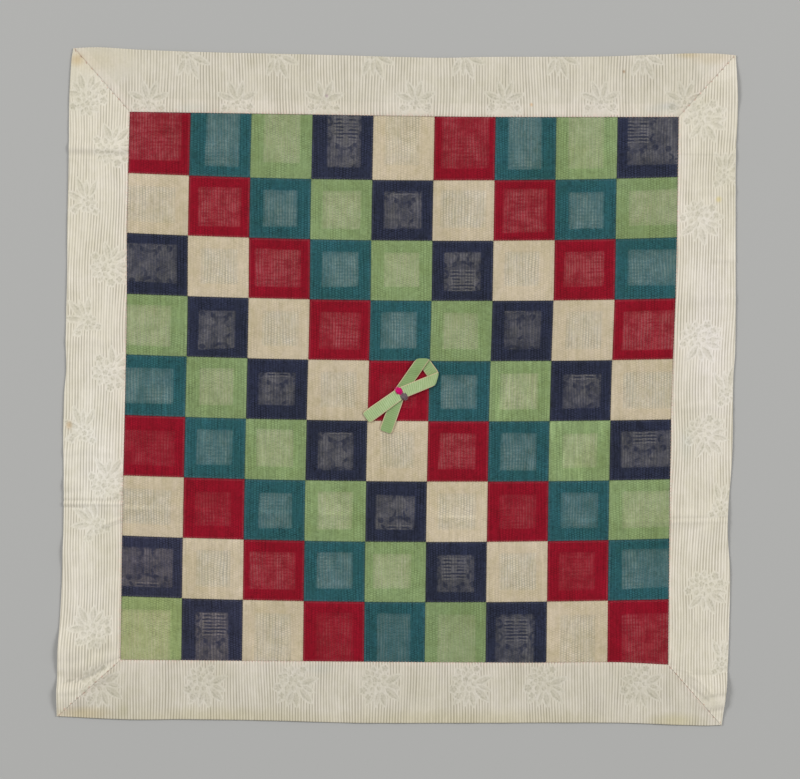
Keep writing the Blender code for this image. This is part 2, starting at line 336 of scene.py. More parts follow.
def less_half(tree, value):
    """A number of 0 to 1, moved so that it swings about zero."""
    return maths(tree, "SUBTRACT", value, 0.5)


def between(tree, value, low, high, out_low=0.0, out_high=1.0):
    """Map low..high to out_low..out_high with an easy curve, and stop at both ends."""
    node = add_node(
        tree, "ShaderNodeMapRange",
        {"Value": value, "From Min": low, "From Max": high, "To Min": out_low, "To Max": out_high},
        interpolation_type="SMOOTHSTEP",
    )
    return node.outputs["Result"]


def blend(tree, factor, first, second, how="MIX"):
    """Mix two colours."""
    inputs = {0: factor, 6: first, 7: second}
    return add_node(tree, "ShaderNodeMix", inputs, data_type="RGBA", blend_type=how).outputs[2]


def darken(tree, colour, gain):
    """Multiply a colour by a number; the number may also be above 1."""
    grey = add_node(tree, "ShaderNodeCombineColor", {0: gain, 1: gain, 2: gain}).outputs[0]
    return blend(tree, 1.0, colour, grey, "MULTIPLY")


def stretch(tree, vector, scale):
    """Scale a vector by a different amount along each axis."""
    node = add_node(tree, "ShaderNodeVectorMath", {0: vector, 1: scale}, operation="MULTIPLY")
    return node.outputs[0]


def move(tree, place, shift):
    """Add a shift to a place."""
    return add_node(tree, "ShaderNodeVectorMath", {0: place, 1: shift}, operation="ADD").outputs[0]


def join(tree, x, y=0.0):
    """A place from two numbers."""
    return add_node(tree, "ShaderNodeCombineXYZ", {0: x, 1: y}).outputs[0]


def split(tree, place):
    """The x and y of a place."""
    parts = add_node(tree, "ShaderNodeSeparateXYZ", {0: place}).outputs
    return parts["X"], parts["Y"]


def noise(tree, vector, detail=2.0, roughness=0.5):
    """Smooth noise of 0 to 1, one swell to a unit of the vector."""
    node = add_node(
        tree, "ShaderNodeTexNoise",
        {"Vector": vector, "Scale": 1.0, "Detail": detail, "Roughness": roughness},
    )
    return node.outputs["Fac"]


def read(tree, name):
    """A number kept on the mesh."""
    return add_node(tree, "ShaderNodeAttribute", attribute_name=name).outputs["Fac"]


def start_group(name, inputs, outputs):
    """A node group with named sockets: each input is name, kind, starting value."""
    tree = bpy.data.node_groups.new(name, "ShaderNodeTree")
    for label, kind, value in inputs:
        socket = tree.interface.new_socket(label, in_out="INPUT", socket_type="NodeSocket" + kind)
        if kind != "Vector":
            socket.default_value = value
    for label, kind in outputs:
        tree.interface.new_socket(label, in_out="OUTPUT", socket_type="NodeSocket" + kind)
    given = tree.nodes.new("NodeGroupInput").outputs
    wanted = tree.nodes.new("NodeGroupOutput").inputs
    print("node group:", name)
    return tree, given, wanted


def use_group(tree, group, inputs):
    return add_node(tree, "ShaderNodeGroup", inputs, node_tree=group).outputs


print("node helpers are ready")

# %% [markdown]
# ## Shared effect: ribs
# Both the gauze squares and the damask border are woven in stripes: close threads make a raised,
# pale rib, and open threads make a groove that the ground shows through. The group turns a
# position across the ribs into a crest that is 1 on the rib and 0 in the groove. A cosine gives
# the repeat, and a power makes the groove narrower than the rib.

# %% Node group: ribs
def make_rib_group():
    tree, given, wanted = start_group(
        "Woven ribs",
        [("Position", "Float", 0.0), ("Pitch", "Float", 2.7), ("Fullness", "Float", 0.7)],
        [("Crest", "Float")],
    )
    turns = maths(tree, "DIVIDE", given["Position"], given["Pitch"])
    wave = maths(tree, "COSINE", times(tree, turns, 2 * math.pi))
    level = times_plus(tree, wave, 0.5, 0.5)
    set_input(tree, wanted["Crest"], maths(tree, "POWER", level, given["Fullness"]))
    return tree


RIB_GROUP = make_rib_group()

# %% [markdown]
# ## Shared effect: leno knots
# Between the ribs of a gauze the warp threads cross over each other, and each crossing is a tiny
# knot. The knots of one rib stand half a step above those of the next, like bricks. A cosine
# along the rib gives the knots, and the number of the rib, odd or even, shifts it.

# %% Node group: leno knots
def make_knot_group():
    tree, given, wanted = start_group(
        "Leno knots",
        [
            ("Across", "Float", 0.0), ("Along", "Float", 0.0),
            ("Pitch", "Float", 2.7), ("Step", "Float", 2.0),
        ],
        [("Knot", "Float")],
    )
    rib = maths(tree, "ROUND", maths(tree, "DIVIDE", given["Across"], given["Pitch"]))
    turns = times_plus(tree, rib, 0.5, maths(tree, "DIVIDE", given["Along"], given["Step"]))
    wave = maths(tree, "COSINE", times(tree, turns, 2 * math.pi))
    set_input(tree, wanted["Knot"], times_plus(tree, wave, 0.5, 0.5))
    return tree


KNOT_GROUP = make_knot_group()

# %% [markdown]
# ## Shared effect: plain weave
# Up close, every cloth here is threads going over and under each other. Two sine waves, one each
# way, give the rounded tops of the threads as a height, and the holes that they leave between
# them. The threads are finer than a millimetre, so this is bump, not mesh.

# %% Node group: plain weave
def make_weave_group():
    tree, given, wanted = start_group(
        "Plain weave",
        [("Place", "Vector", None), ("Thread", "Float", 0.4)],
        [("Height", "Float"), ("Hole", "Float")],
    )
    x, y = split(tree, given["Place"])
    turn = maths(tree, "DIVIDE", math.pi, given["Thread"])
    warp = maths(tree, "ABSOLUTE", maths(tree, "SINE", times(tree, x, turn)))
    weft = maths(tree, "ABSOLUTE", maths(tree, "SINE", times(tree, y, turn)))
    set_input(tree, wanted["Height"], maths(tree, "MAXIMUM", warp, weft))
    gap = times(tree, maths(tree, "SUBTRACT", 1.0, warp), maths(tree, "SUBTRACT", 1.0, weft))
    set_input(tree, wanted["Hole"], between(tree, gap, 0.15, 0.6))
    return tree


WEAVE_GROUP = make_weave_group()

# %% [markdown]
# ## Shared effect: slubs and age
# Hand-reeled thread is uneven, so a cloth shows faint streaks along its warp, where a thicker
# thread runs for a few centimetres. Age adds broad, soft patches that are a little yellower and
# darker. Noise that is stretched along the cloth gives the first, and two sizes of plain noise
# the second. The same streaks, made bold, also give painted highlights on the gauze.

# %% Node groups: slub streaks and ageing
def make_slub_and_highlight_group():
    tree, given, wanted = start_group(
        "Slub streaks",
        [("Place", "Vector", None), ("Width", "Float", 1.5), ("Length", "Float", 40.0)],
        [("Streak", "Float")],
    )
    x, y = split(tree, given["Place"])
    across, along = maths(tree, "DIVIDE", x, given["Width"]), maths(tree, "DIVIDE", y, given["Length"])
    streak = noise(tree, join(tree, across, along), 3.0, 0.6)
    set_input(tree, wanted["Streak"], between(tree, streak, 0.3, 0.7))
    return tree


def make_age_group():
    tree, given, wanted = start_group(
        "Aged cloth",
        [("Colour", "Color", (1, 1, 1, 1)), ("Place", "Vector", None), ("Amount", "Float", 0.1)],
        [("Colour", "Color")],
    )
    broad = noise(tree, stretch(tree, given["Place"], (0.018, 0.018, 0.018)), 3.0)
    small = noise(tree, stretch(tree, given["Place"], (0.16, 0.11, 0.16)), 4.0, 0.65)
    patchy = times_plus(tree, small, 0.5, times(tree, broad, 0.5))
    swing = times(tree, less_half(tree, patchy), given["Amount"])
    bright = times_plus(tree, swing, 4.0, 1.0)
    yellow = times_plus(tree, swing, 6.5, 1.0)
    factor = add_node(tree, "ShaderNodeCombineColor", {0: bright, 1: bright, 2: yellow}).outputs[0]
    set_input(tree, wanted["Colour"], blend(tree, 1.0, given["Colour"], factor, "MULTIPLY"))
    return tree


SLUB_AND_HIGHLIGHT_GROUP = make_slub_and_highlight_group()
AGE_GROUP = make_age_group()

# %% [markdown]
# ## The patchwork: where its 81 squares lie
# Nine rows of nine squares fill the panel. The colours step along diagonals: each square is one
# colour on from its neighbour to the left, and the next row starts one colour back. The seams
# between rows sag a little in the middle, so the table gives that sag at three places along each
# row seam, and a parabola runs through the three.

# %% The grid of squares
SQUARES = 9
CLOTHS = ("red", "teal", "green", "navy", "ecru")
SAG_SHARES = (0.06, 0.55, 0.94)
ROW_SAGS = (
    (1.4, 4.5, 0.5), (0.5, 4.1, 0.0), (0.4, 3.3, 0.0), (0.0, 2.7, -0.3),
    (-0.3, 2.1, -0.8), (-0.7, 1.6, -1.6), (-1.3, 1.2, -2.9), (-1.6, 0.6, -3.1),
)


def seam_sags(share):
    """How far each of the ten row seams, edges included, hangs below a straight line."""
    rows = [-stray_at(PANEL_EDGES["top"], share)]
    for sags in ROW_SAGS:
        curve = np.polyfit(SAG_SHARES, sags, 2)
        rows.append(np.polyval(curve, share))
    rows.append(stray_at(PANEL_EDGES["bottom"], share))
    return np.array(rows)


def panel_plan(across, down):
    """Plan position of points of the patchwork: shares from the left edge and from the top edge."""
    left, right = np.clip(1.0 - across, 0, 1), np.clip(across, 0, 1)
    corners = [np.array(PANEL_CORNERS[name]) for name in CORNER_NAMES]
    weights = ((1 - across) * (1 - down), across * (1 - down), across * down, (1 - across) * down)
    plan = sum(weight[..., None] * corner for weight, corner in zip(weights, corners))
    inside = np.clip(across, 0, 1)
    sags = seam_sags(inside.ravel()).reshape((SQUARES + 1,) + inside.shape)
    place = np.clip(down, 0, 1) * SQUARES
    upper = np.minimum(place.astype(int), SQUARES - 1)
    sag_above = np.take_along_axis(sags, upper[None], axis=0)[0]
    sag_below = np.take_along_axis(sags, upper[None] + 1, axis=0)[0]
    sag = sag_above + (sag_below - sag_above) * (place - upper)
    depth = np.clip(down, 0, 1)
    left_stray = stray_at(PANEL_EDGES["left"], depth)
    right_stray = stray_at(PANEL_EDGES["right"], depth)
    return plan[..., 0] - left * left_stray + right * right_stray, plan[..., 1] - sag


PANEL_SIDE = 498.0
SQUARE_SIZE = PANEL_SIDE / SQUARES
print("one square is about", round(SQUARE_SIZE, 1), "mm")

# %% [markdown]
# ## The turned edges of each square
# Each square is sewn to its neighbours with its edges turned under. There the gauze lies double
# or fourfold and looks solid, and the window of single gauze inside looks pale and sheer. No two
# windows are alike, because the turnings were folded by hand: the sizes come from a seeded
# random draw, and the tables after it hold the squares that differ most. Along the panel's own
# edges nothing is turned, and the window runs out to the border.

# %% Draws for all the squares
DRAW = np.random.default_rng(9)
LEFT, RIGHT, TOP, BOTTOM = range(4)
TURNINGS = DRAW.normal(11.3, 1.0, (SQUARES, SQUARES, 4)).clip(8.8, 13.5)
SLANTS = DRAW.normal(0.0, 0.6, (SQUARES, SQUARES, 4))
TONES = DRAW.normal(1.0, 0.025, (SQUARES, SQUARES))
SEEDS = DRAW.uniform(0.0, 1.0, (SQUARES, SQUARES))
SHEERNESS = DRAW.uniform(0.75, 1.0, (SQUARES, SQUARES))
# How strongly each square shows bold painted highlight streaks, bright where folds catch the light.
STREAK_HIGHLIGHTS = DRAW.uniform(0.0, 0.25, (SQUARES, SQUARES))
NO_TURNING = -6.0
TURNINGS[:, 0, LEFT] = NO_TURNING
TURNINGS[:, -1, RIGHT] = NO_TURNING
TURNINGS[0, :, TOP] = NO_TURNING
TURNINGS[-1, :, BOTTOM] = NO_TURNING

# Where the woven figure falls in each square: across and up from the middle of the square.
FIGURE_SHIFTS = DRAW.uniform(-1.0, 1.0, (SQUARES, SQUARES, 2)) * (9.0, 12.0)
FADING = np.zeros((SQUARES, SQUARES))
print("turnings are", TURNINGS[1:-1, 1:-1].mean().round(1), "mm wide on average")

# %% Squares that differ most
OUT = NO_TURNING
# Turnings that were folded noticeably wider or narrower: left, right, top, bottom.
OWN_TURNINGS = {
    (0, 0): (OUT, 8, OUT, 12.5), (0, 1): (14.5, 10.5, OUT, 9), (0, 2): (11.5, 11, OUT, 13.5),
    (0, 3): (14, 11, OUT, 10.5), (0, 5): (7, 5.5, OUT, 10.5), (0, 6): (12, 13, OUT, 9.5),
    (0, 7): (11, 12, OUT, 9.5), (0, 8): (9.5, OUT, OUT, 12), (1, 1): (9, 8, 10, 9.5),
    (1, 2): (12.5, 12, 11, 11), (1, 3): (10.5, 10, 10.5, 10), (1, 5): (7, 7.5, 9, 12),
    (1, 6): (8, 7.5, 8, 7.5), (1, 7): (12.5, 11.5, 12, 10), (2, 0): (OUT, 10, 9, 11.5),
    (2, 2): (5.5, 8.5, 10, 11), (2, 3): (11, 11.5, 11, 12), (2, 5): (11, 11.5, 10.5, 9.5),
    (2, 7): (9, 10.5, 11, 12.5), (2, 8): (11.5, OUT, 10.5, 12.5), (3, 0): (OUT, 15, 9.5, 8.5),
    (3, 1): (10.5, 12, 12.5, 8), (3, 3): (9.5, 8.5, 11.5, 10), (3, 5): (11, 12.5, 11, 11),
    (3, 6): (11.5, 11, 9.5, 11), (3, 8): (8.5, OUT, 11, 9), (5, 3): (11, 12.5, 11, 10),
    (6, 2): (13.5, 12, 12, 11), (6, 3): (11.5, 12, 10, 11), (6, 4): (9, 11, 13, 11.5),
    (7, 2): (5.5, 8, 11, 10.5), (7, 3): (11.5, 11.5, 10, 12), (7, 4): (7.5, 13.5, 11, 12.5),
    (7, 5): (10.5, 11.5, 12, 9.5), (8, 1): (12.5, 13, 12, OUT), (8, 3): (11.5, 10, 10.5, OUT),
    (8, 4): (11.5, 13.5, 10.5, OUT),
}
SLANTS[3, 1, BOTTOM] = 3.5
SLANTS[6, 4, TOP] = 2.0
# Squares whose window is fainter or clearer than most, and squares with bold painted highlight streaks,
# bright where folds catch the light.
OWN_SHEERNESS = {
    (5, 0): 0.35, (6, 1): 0.35, (8, 0): 0.8, (4, 4): 0.25, (7, 0): 0.6, (8, 3): 0.3, (8, 4): 0.6,
    (8, 5): 0.6, (6, 6): 0.4, (7, 7): 0.5, (8, 8): 0.6, (8, 1): 0.7, (0, 5): 0.6, (3, 3): 0.7,
    (3, 6): 0.7, (8, 6): 0.7, (6, 7): 0.7,
}
OWN_STREAK_HIGHLIGHTS = {
    (3, 0): 0.5, (4, 0): 0.7, (5, 1): 0.6, (4, 1): 0.4, (5, 2): 0.4, (0, 7): 0.5, (5, 7): 0.9, (4, 6): 0.7,
}
OWN_FIGURE_SHIFTS = {
    (0, 3): (3, 16), (0, 8): (-10, 14), (1, 4): (2, 24), (2, 0): (-6, 29), (3, 1): (3, 26), (8, 6): (0, 2),
    (7, 5): (-2, 3), (6, 4): (3, -22), (8, 1): (2, 5), (5, 3): (2, 25), (7, 0): (-4, -24), (4, 2): (0, 21),
    (4, 7): (2, 20), (3, 6): (-8, 27), (5, 8): (4, 16), (2, 5): (0, -9),
}
# Squares at the lower left corner that the light has faded and yellowed.
OWN_FADING = {(8, 0): 1.0, (8, 1): 0.9, (7, 0): 1.0}

for table, own in (
    (TURNINGS, OWN_TURNINGS), (SHEERNESS, OWN_SHEERNESS), (STREAK_HIGHLIGHTS, OWN_STREAK_HIGHLIGHTS),
    (FIGURE_SHIFTS, OWN_FIGURE_SHIFTS), (FADING, OWN_FADING),
):
    for (row, column), value in own.items():
        table[row, column] = value
print(len(OWN_TURNINGS), "squares have turnings of their own")

# %% Depth inside a window
def window_depth(local_x, local_y, row, column):
    """Distance in from the edge of a square's window; below zero on the turnings."""
    sizes, slants = TURNINGS[row, column], SLANTS[row, column]
    lean_x = local_x / SQUARE_SIZE - 0.5
    lean_y = local_y / SQUARE_SIZE - 0.5
    from_left = local_x - sizes[..., LEFT] - slants[..., LEFT] * lean_y
    from_right = SQUARE_SIZE - local_x - sizes[..., RIGHT] - slants[..., RIGHT] * lean_y
    from_top = local_y - sizes[..., TOP] - slants[..., TOP] * lean_x
    from_bottom = SQUARE_SIZE - local_y - sizes[..., BOTTOM] - slants[..., BOTTOM] * lean_x
    return np.minimum.reduce([from_left, from_right, from_top, from_bottom])


# %% [markdown]
# ## The patchwork panel
# The panel is one sheet with its lines along the seams. The turnings make each square's rim
# stand a few tenths of a millimetre above its window, each seam lies in a narrow valley, and the
# whole sheet follows the lifts and creases. The sheet also reaches a little way under the
# border, as the real one does, so no gap shows between them.

# %% Build the panel
PANEL_LEVEL = 0.55
TURNING_RISE = 0.30
TURNING_SLOPE = 2.2
SEAM_VALLEY = 0.28
VALLEY_HALF_WIDTH = 1.6
OLD_FOLD_HALF_WIDTH = 2.6
CELLS_PER_SQUARE = 28
# How far the sheet reaches in under the border, as a share of its side.
TUCK_SHARE = 0.003


def square_of(share):
    """Number of the square that a share of the panel falls in."""
    return np.clip((share * SQUARES).astype(int), 0, SQUARES - 1)


def seam_distance(local_x, local_y):
    """Distance to the nearest edge of a square."""
    return np.minimum.reduce([local_x, SQUARE_SIZE - local_x, local_y, SQUARE_SIZE - local_y])


def panel_height(across, down):
    """Height of the patchwork at shares across and down, and its plan position."""
    x, y = panel_plan(across, down)
    column, row = square_of(across), square_of(down)
    local_x = (across * SQUARES - column) * SQUARE_SIZE
    local_y = (down * SQUARES - row) * SQUARE_SIZE
    depth = window_depth(local_x, local_y, row, column)
    to_seam = seam_distance(local_x, local_y)
    turned = (1.0 - smooth_step(depth / TURNING_SLOPE + 0.5)) * smooth_step(to_seam / 4.0)
    level = PANEL_LEVEL + TURNING_RISE * turned - SEAM_VALLEY * hump(to_seam / VALLEY_HALF_WIDTH)
    return x, y, cloth_height(x, y) + level


def make_panel():
    """The 81 squares as one sheet, each face carrying the numbers of its own square."""
    inner = np.linspace(0.0, 1.0, SQUARES * CELLS_PER_SQUARE + 1)
    line = np.concatenate([[-TUCK_SHARE], inner, [1.0 + TUCK_SHARE]])
    down, across = np.meshgrid(line, line, indexing="ij")
    x, y, z = panel_height(across, down)
    faces = grid_faces(*across.shape)[:, ::-1]
    piece = make_mesh("patchwork_gauze", np.stack([x, y, z], axis=-1), faces)

    share_x, share_y = across.ravel()[faces], down.ravel()[faces]
    column = np.repeat(square_of(share_x.mean(axis=1))[:, None], 4, axis=1)
    row = np.repeat(square_of(share_y.mean(axis=1))[:, None], 4, axis=1)
    local_x = (share_x * SQUARES - column) * SQUARE_SIZE
    local_y = (share_y * SQUARES - row) * SQUARE_SIZE
    store(piece, "window_depth", window_depth(local_x, local_y, row, column), "CORNER")
    store(piece, "seam_distance", seam_distance(local_x, local_y), "CORNER")
    tables = {"tone": TONES, "seed": SEEDS, "sheerness": SHEERNESS, "streak_highlights": STREAK_HIGHLIGHTS, "fading": FADING}
    for name, table in tables.items():
        store(piece, name, table[row, column], "CORNER")
    shift_x, shift_y = FIGURE_SHIFTS[row, column, 0], FIGURE_SHIFTS[row, column, 1]
    store(piece, "figure_x", local_x - SQUARE_SIZE / 2 - shift_x, "CORNER")
    store(piece, "figure_y", SQUARE_SIZE / 2 - local_y - shift_y, "CORNER")
    # Where the painted highlight along the old fold lies.
    store(piece, "old_fold", hump(distance_to_line(x, y, RIDGES[0].line) / OLD_FOLD_HALF_WIDTH))
    kind = (column[:, 0] - row[:, 0]) % len(CLOTHS)
    piece.data.polygons.foreach_set("material_index", kind.astype(np.int32))
    return piece


panel = make_panel()

# %% [markdown]
# ## Shared effect: the turned edge
# The mesh knows how deep inside its window each point is. The group turns that depth into a mask,
# 1 in the single gauze and 0 on the turnings, and moves the line to and fro by a few tenths of a
# millimetre, because a hand-turned edge is never straight. The mask falls in two steps, a firm one
# at the fold and a faint one a little further in, where the raw edge of the turning frays out.

# %% Node group: turned edge
def make_turning_group():
    tree, given, wanted = start_group(
        "Turned edge",
        [("Depth", "Float", 0.0), ("Place", "Vector", None), ("Wander", "Float", 0.8)],
        [("Window", "Float")],
    )
    drift = noise(tree, stretch(tree, given["Place"], (0.11, 0.11, 0.11)), 3.0, 0.6)
    moved = times(tree, less_half(tree, drift), times(tree, given["Wander"], 3.0))
    depth = maths(tree, "ADD", given["Depth"], moved)
    firm = between(tree, depth, -0.9, 0.9)
    faint = between(tree, maths(tree, "ADD", depth, moved), 1.5, 3.6)
    both = times_plus(tree, firm, 0.75, times(tree, faint, 0.25))
    set_input(tree, wanted["Window"], both)
    return tree


TURNING_GROUP = make_turning_group()

# %% [markdown]
# ## Shared effect: woven figures
# The dark blue gauze has figures in its weave: medallions of short stacked bars, mirrored left
# and right, with cloud arcs and dots above and below. They are made afresh here from distances.
# First the place is wrapped, so one figure repeats like woven cloth, every second column half a
# repeat lower. Then the mirror is just an absolute value, the bars are stripes cut off by masks,
# and each arc is the distance to a circle. One output is the dense figure, the other the open
# ground between its bars, which looks paler. Each part of the figure has its own short function.

# %% Node group: woven figures
REPEAT_ACROSS = 46.0
REPEAT_DOWN = 58.0
# How far the wander of the weave pushes a figure, each way.
DRIFT = 1.7


def make_wrap(tree, value, repeat):
    """Wrap a coordinate into one repeat, centred on zero."""
    moved = maths(tree, "FLOORED_MODULO", maths(tree, "ADD", value, repeat / 2), repeat)
    return maths(tree, "SUBTRACT", moved, repeat / 2)


def make_ring(tree, x, y, centre_x, centre_y, radius, half_width):
    """Mask of a ring round a centre; a ring of radius zero is a dot."""
    away = join(tree, maths(tree, "SUBTRACT", x, centre_x), maths(tree, "SUBTRACT", y, centre_y))
    length = add_node(tree, "ShaderNodeVectorMath", {0: away}, operation="LENGTH").outputs["Value"]
    off = maths(tree, "ABSOLUTE", maths(tree, "SUBTRACT", length, radius))
    return between(tree, off, half_width, half_width + 0.7, 1.0, 0.0)


def figure_place(tree, place):
    """The place inside one repeat, with the soft wander that hand weaving gives."""
    drift = add_node(
        tree, "ShaderNodeTexNoise",
        {"Vector": stretch(tree, place, (0.10, 0.10, 0.0)), "Scale": 1.0, "Detail": 2.0},
    ).outputs["Color"]
    pushed = stretch(tree, drift, (2 * DRIFT, 2 * DRIFT, 0.0))
    x, y = split(tree, move(tree, place, pushed))
    x, y = maths(tree, "SUBTRACT", x, DRIFT), maths(tree, "SUBTRACT", y, DRIFT)
    column = maths(tree, "DIVIDE", maths(tree, "ADD", x, REPEAT_ACROSS / 2), REPEAT_ACROSS)
    y = times_plus(tree, maths(tree, "FLOOR", column), REPEAT_DOWN / 2, y)
    return make_wrap(tree, x, REPEAT_ACROSS), make_wrap(tree, y, REPEAT_DOWN)


def figure_bars(tree, side, rise, row):
    """Short stacked bars, with a wide one every third row; also where they stand at all."""
    bar = between(tree, maths(tree, "PINGPONG", row, 0.5), 0.14, 0.34)
    stack = between(tree, maths(tree, "ABSOLUTE", maths(tree, "SUBTRACT", side, 5.8)), 2.9, 3.7, 1.0, 0.0)
    wide = between(tree, maths(tree, "PINGPONG", maths(tree, "DIVIDE", row, 3.0), 0.5), 0.36, 0.42)
    narrow = between(tree, side, 10.5, 11.5, 1.0, 0.0)
    tall = between(tree, rise, 9.6, 10.8, 1.0, 0.0)
    inside = times(tree, narrow, tall)
    bars = times(tree, times(tree, bar, maths(tree, "MAXIMUM", stack, wide)), inside)
    open_rows = times(tree, maths(tree, "SUBTRACT", 1.0, bar), inside)
    return bars, open_rows


def figure_arcs(tree, side, rise):
    """A dome over the bars, a cloud above it, a curl at each side, and two pairs of dots."""
    above = between(tree, rise, 11.5, 12.5)
    dome = times(tree, make_ring(tree, side, rise, 0.0, 7.0, 10.0, 1.0), above)
    opening = between(tree, side, 7.0, 11.0, 1.0, 0.0)
    cloud = times(tree, make_ring(tree, side, rise, 9.5, 20.5, 5.2, 1.0), opening)
    inner_side = between(tree, side, 15.5, 18.0, 1.0, 0.0)
    curl = times(tree, make_ring(tree, side, rise, 16.5, 6.0, 3.4, 0.8), inner_side)
    first_dot = make_ring(tree, side, rise, 7.5, 15.0, 0.0, 1.9)
    second_dot = make_ring(tree, side, rise, 17.0, 14.0, 0.0, 2.3)
    dots = maths(tree, "MAXIMUM", first_dot, second_dot)
    return maths(tree, "MAXIMUM", maths(tree, "MAXIMUM", dome, cloud), maths(tree, "MAXIMUM", curl, dots))


def make_figure_group():
    tree, given, wanted = start_group(
        "Woven figures",
        [("Place", "Vector", None), ("Line", "Float", 3.0)],
        [("Figure", "Float"), ("Ground", "Float")],
    )
    place = given["Place"]
    x, y = figure_place(tree, place)
    side, rise = maths(tree, "ABSOLUTE", x), maths(tree, "ABSOLUTE", y)
    bars, open_rows = figure_bars(tree, side, rise, maths(tree, "DIVIDE", y, given["Line"]))
    cut = between(tree, noise(tree, stretch(tree, place, (0.28, 0.28, 0.0)), 2.0), 0.36, 0.5, 0.45, 1.0)
    shapes = times(tree, figure_arcs(tree, side, rise), cut)
    shown = between(tree, noise(tree, stretch(tree, place, (0.07, 0.07, 0.0)), 2.0), 0.36, 0.56, 0.5, 1.0)
    dense = times(tree, maths(tree, "MAXIMUM", bars, shapes), shown)
    set_input(tree, wanted["Figure"], dense)
    set_input(tree, wanted["Ground"], times(tree, open_rows, shown))
    return tree


FIGURE_GROUP = make_figure_group()

# %% [markdown]
# ## Shared effect: hand-woven unevenness
# A sheer window is never even. Some wefts are thicker and make soft bands across, the set of the
# threads drifts into clouds a centimetre wide, and single threads make a fine grain. Three noises
# at three scales give them. The bands are squeezed noise whose height sways a little, so they bow.

# %% Node group: hand-woven unevenness
def make_uneven_group():
    tree, given, wanted = start_group(
        "Hand-woven unevenness",
        [("Place", "Vector", None), ("Bands", "Float", 0.4)],
        [("Thickness", "Float"), ("Cloud", "Float"), ("Grain", "Float")],
    )
    place = given["Place"]
    cloud = noise(tree, stretch(tree, place, (0.09, 0.07, 0.0)), 3.0, 0.6)
    grain = noise(tree, stretch(tree, place, (0.42, 0.42, 0.0)), 3.0, 0.7)
    sway = times(tree, noise(tree, stretch(tree, place, (0.07, 0.05, 0.0)), 1.0), 7.0)
    x, y = split(tree, place)
    up = times(tree, maths(tree, "ADD", y, sway), 0.34)
    weft = noise(tree, join(tree, times(tree, x, 0.06), up), 2.0, 0.6)
    mixed = times_plus(tree, less_half(tree, weft), given["Bands"], 0.5)
    mixed = times_plus(tree, less_half(tree, cloud), 0.42, mixed)
    mixed = times_plus(tree, less_half(tree, grain), 0.22, mixed)
    set_input(tree, wanted["Thickness"], mixed)
    set_input(tree, wanted["Cloud"], cloud)
    set_input(tree, wanted["Grain"], grain)
    return tree


UNEVEN_GROUP = make_uneven_group()

# %% [markdown]
# ## Shared effect: woven vines
# Most of the gauze is patterned with faint curling vines, which show best on the turnings, where
# the cloth lies double. A contour line of smooth noise is already a closed curl, so the group
# keeps the places where the noise is close to one half, and a second noise breaks the line up.

# %% Node group: woven vines
def make_vine_group():
    tree, given, wanted = start_group(
        "Woven vines", [("Place", "Vector", None), ("Spacing", "Float", 7.0)], [("Vine", "Float")],
    )
    place = stretch(tree, given["Place"], (1.0, 1.0, 0.0))
    turn = maths(tree, "DIVIDE", 1.0, given["Spacing"])
    closer = add_node(tree, "ShaderNodeVectorMath", {0: place, "Scale": turn}, operation="SCALE").outputs[0]
    contour = maths(tree, "ABSOLUTE", less_half(tree, noise(tree, closer, 1.0, 0.4)))
    line = between(tree, contour, 0.015, 0.085, 1.0, 0.0)
    shown = between(tree, noise(tree, stretch(tree, place, (0.05, 0.04, 0.0)), 2.0), 0.38, 0.58)
    set_input(tree, wanted["Vine"], times(tree, line, shown))
    return tree


VINE_GROUP = make_vine_group()

# %% [markdown]
# ## Finish: the five gauzes
# All five are the same silk gauze in different dyes, so one function makes them and a table says
# how they differ. The turnings take the full dye. In the window the ribs stay dyed and the open
# grooves between them take the tone of what is behind. The window is also a little transparent, so
# the table shows through where the single gauze is. Each row of the table holds three colours, on
# the turnings, on a window's ribs and in its grooves, and then five amounts: how much the groove
# lets through, how plain the woven figures are, how cloudy the window is, how strong the bands
# across it are, and how lively the texture of the turnings is.

# %% The dyes
Gauze = namedtuple("Gauze", "turning window groove sheer figured cloudy swept lively")
GAUZES = {
    "red": Gauze(
        (0.225, 0.003, 0.013), (0.266, 0.022, 0.031), (0.382, 0.098, 0.102), 0.15, 0.3, 1.0, 0.8, 2.0,
    ),
    "teal": Gauze(
        (0.020, 0.086, 0.096), (0.075, 0.147, 0.149), (0.206, 0.286, 0.273), 0.18, 0.2, 0.5, 0.15, 2.8,
    ),
    "green": Gauze(
        (0.200, 0.275, 0.118), (0.288, 0.328, 0.174), (0.445, 0.455, 0.295), 0.15, 0.15, 0.38, 0.1, 1.8,
    ),
    "navy": Gauze(
        (0.020, 0.024, 0.046), (0.080, 0.079, 0.092), (0.178, 0.170, 0.174), 0.18, 0.95, 0.8, 0.3, 3.6,
    ),
    "ecru": Gauze(
        (0.532, 0.450, 0.312), (0.530, 0.474, 0.352), (0.448, 0.420, 0.332), 0.10, 0.10, 0.5, 0.1, 0.9,
    ),
}
FADED = (1.30, 1.18, 1.14, 1.0)
SEAM_THREAD = (0.44, 0.44, 0.45, 1.0)
GAUZE_PITCH = 2.65
GAUZE_THREAD = 0.45
KNOT_STEP = 2.1
FIGURE_LINE = 3.0
VINE_SPACING = 7.5
print("dyes:", list(GAUZES))


# %% Starting a cloth material
def start_material(name, roughness, sheen):
    """An empty cloth material, its shader, and the place of each point in millimetres."""
    material = bpy.data.materials.new(name)
    material.use_nodes = True
    tree = material.node_tree
    shader = tree.nodes["Principled BSDF"]
    shader.inputs["Roughness"].default_value = roughness
    shader.inputs["Specular IOR Level"].default_value = 0.1
    shader.inputs["Sheen Weight"].default_value = sheen
    shader.inputs["Sheen Roughness"].default_value = 0.4
    coordinates = tree.nodes.new("ShaderNodeTexCoord").outputs["Object"]
    scaled = add_node(tree, "ShaderNodeVectorMath", {0: coordinates, "Scale": 1.0 / MM}, operation="SCALE")
    return material, tree, shader, scaled.outputs[0]


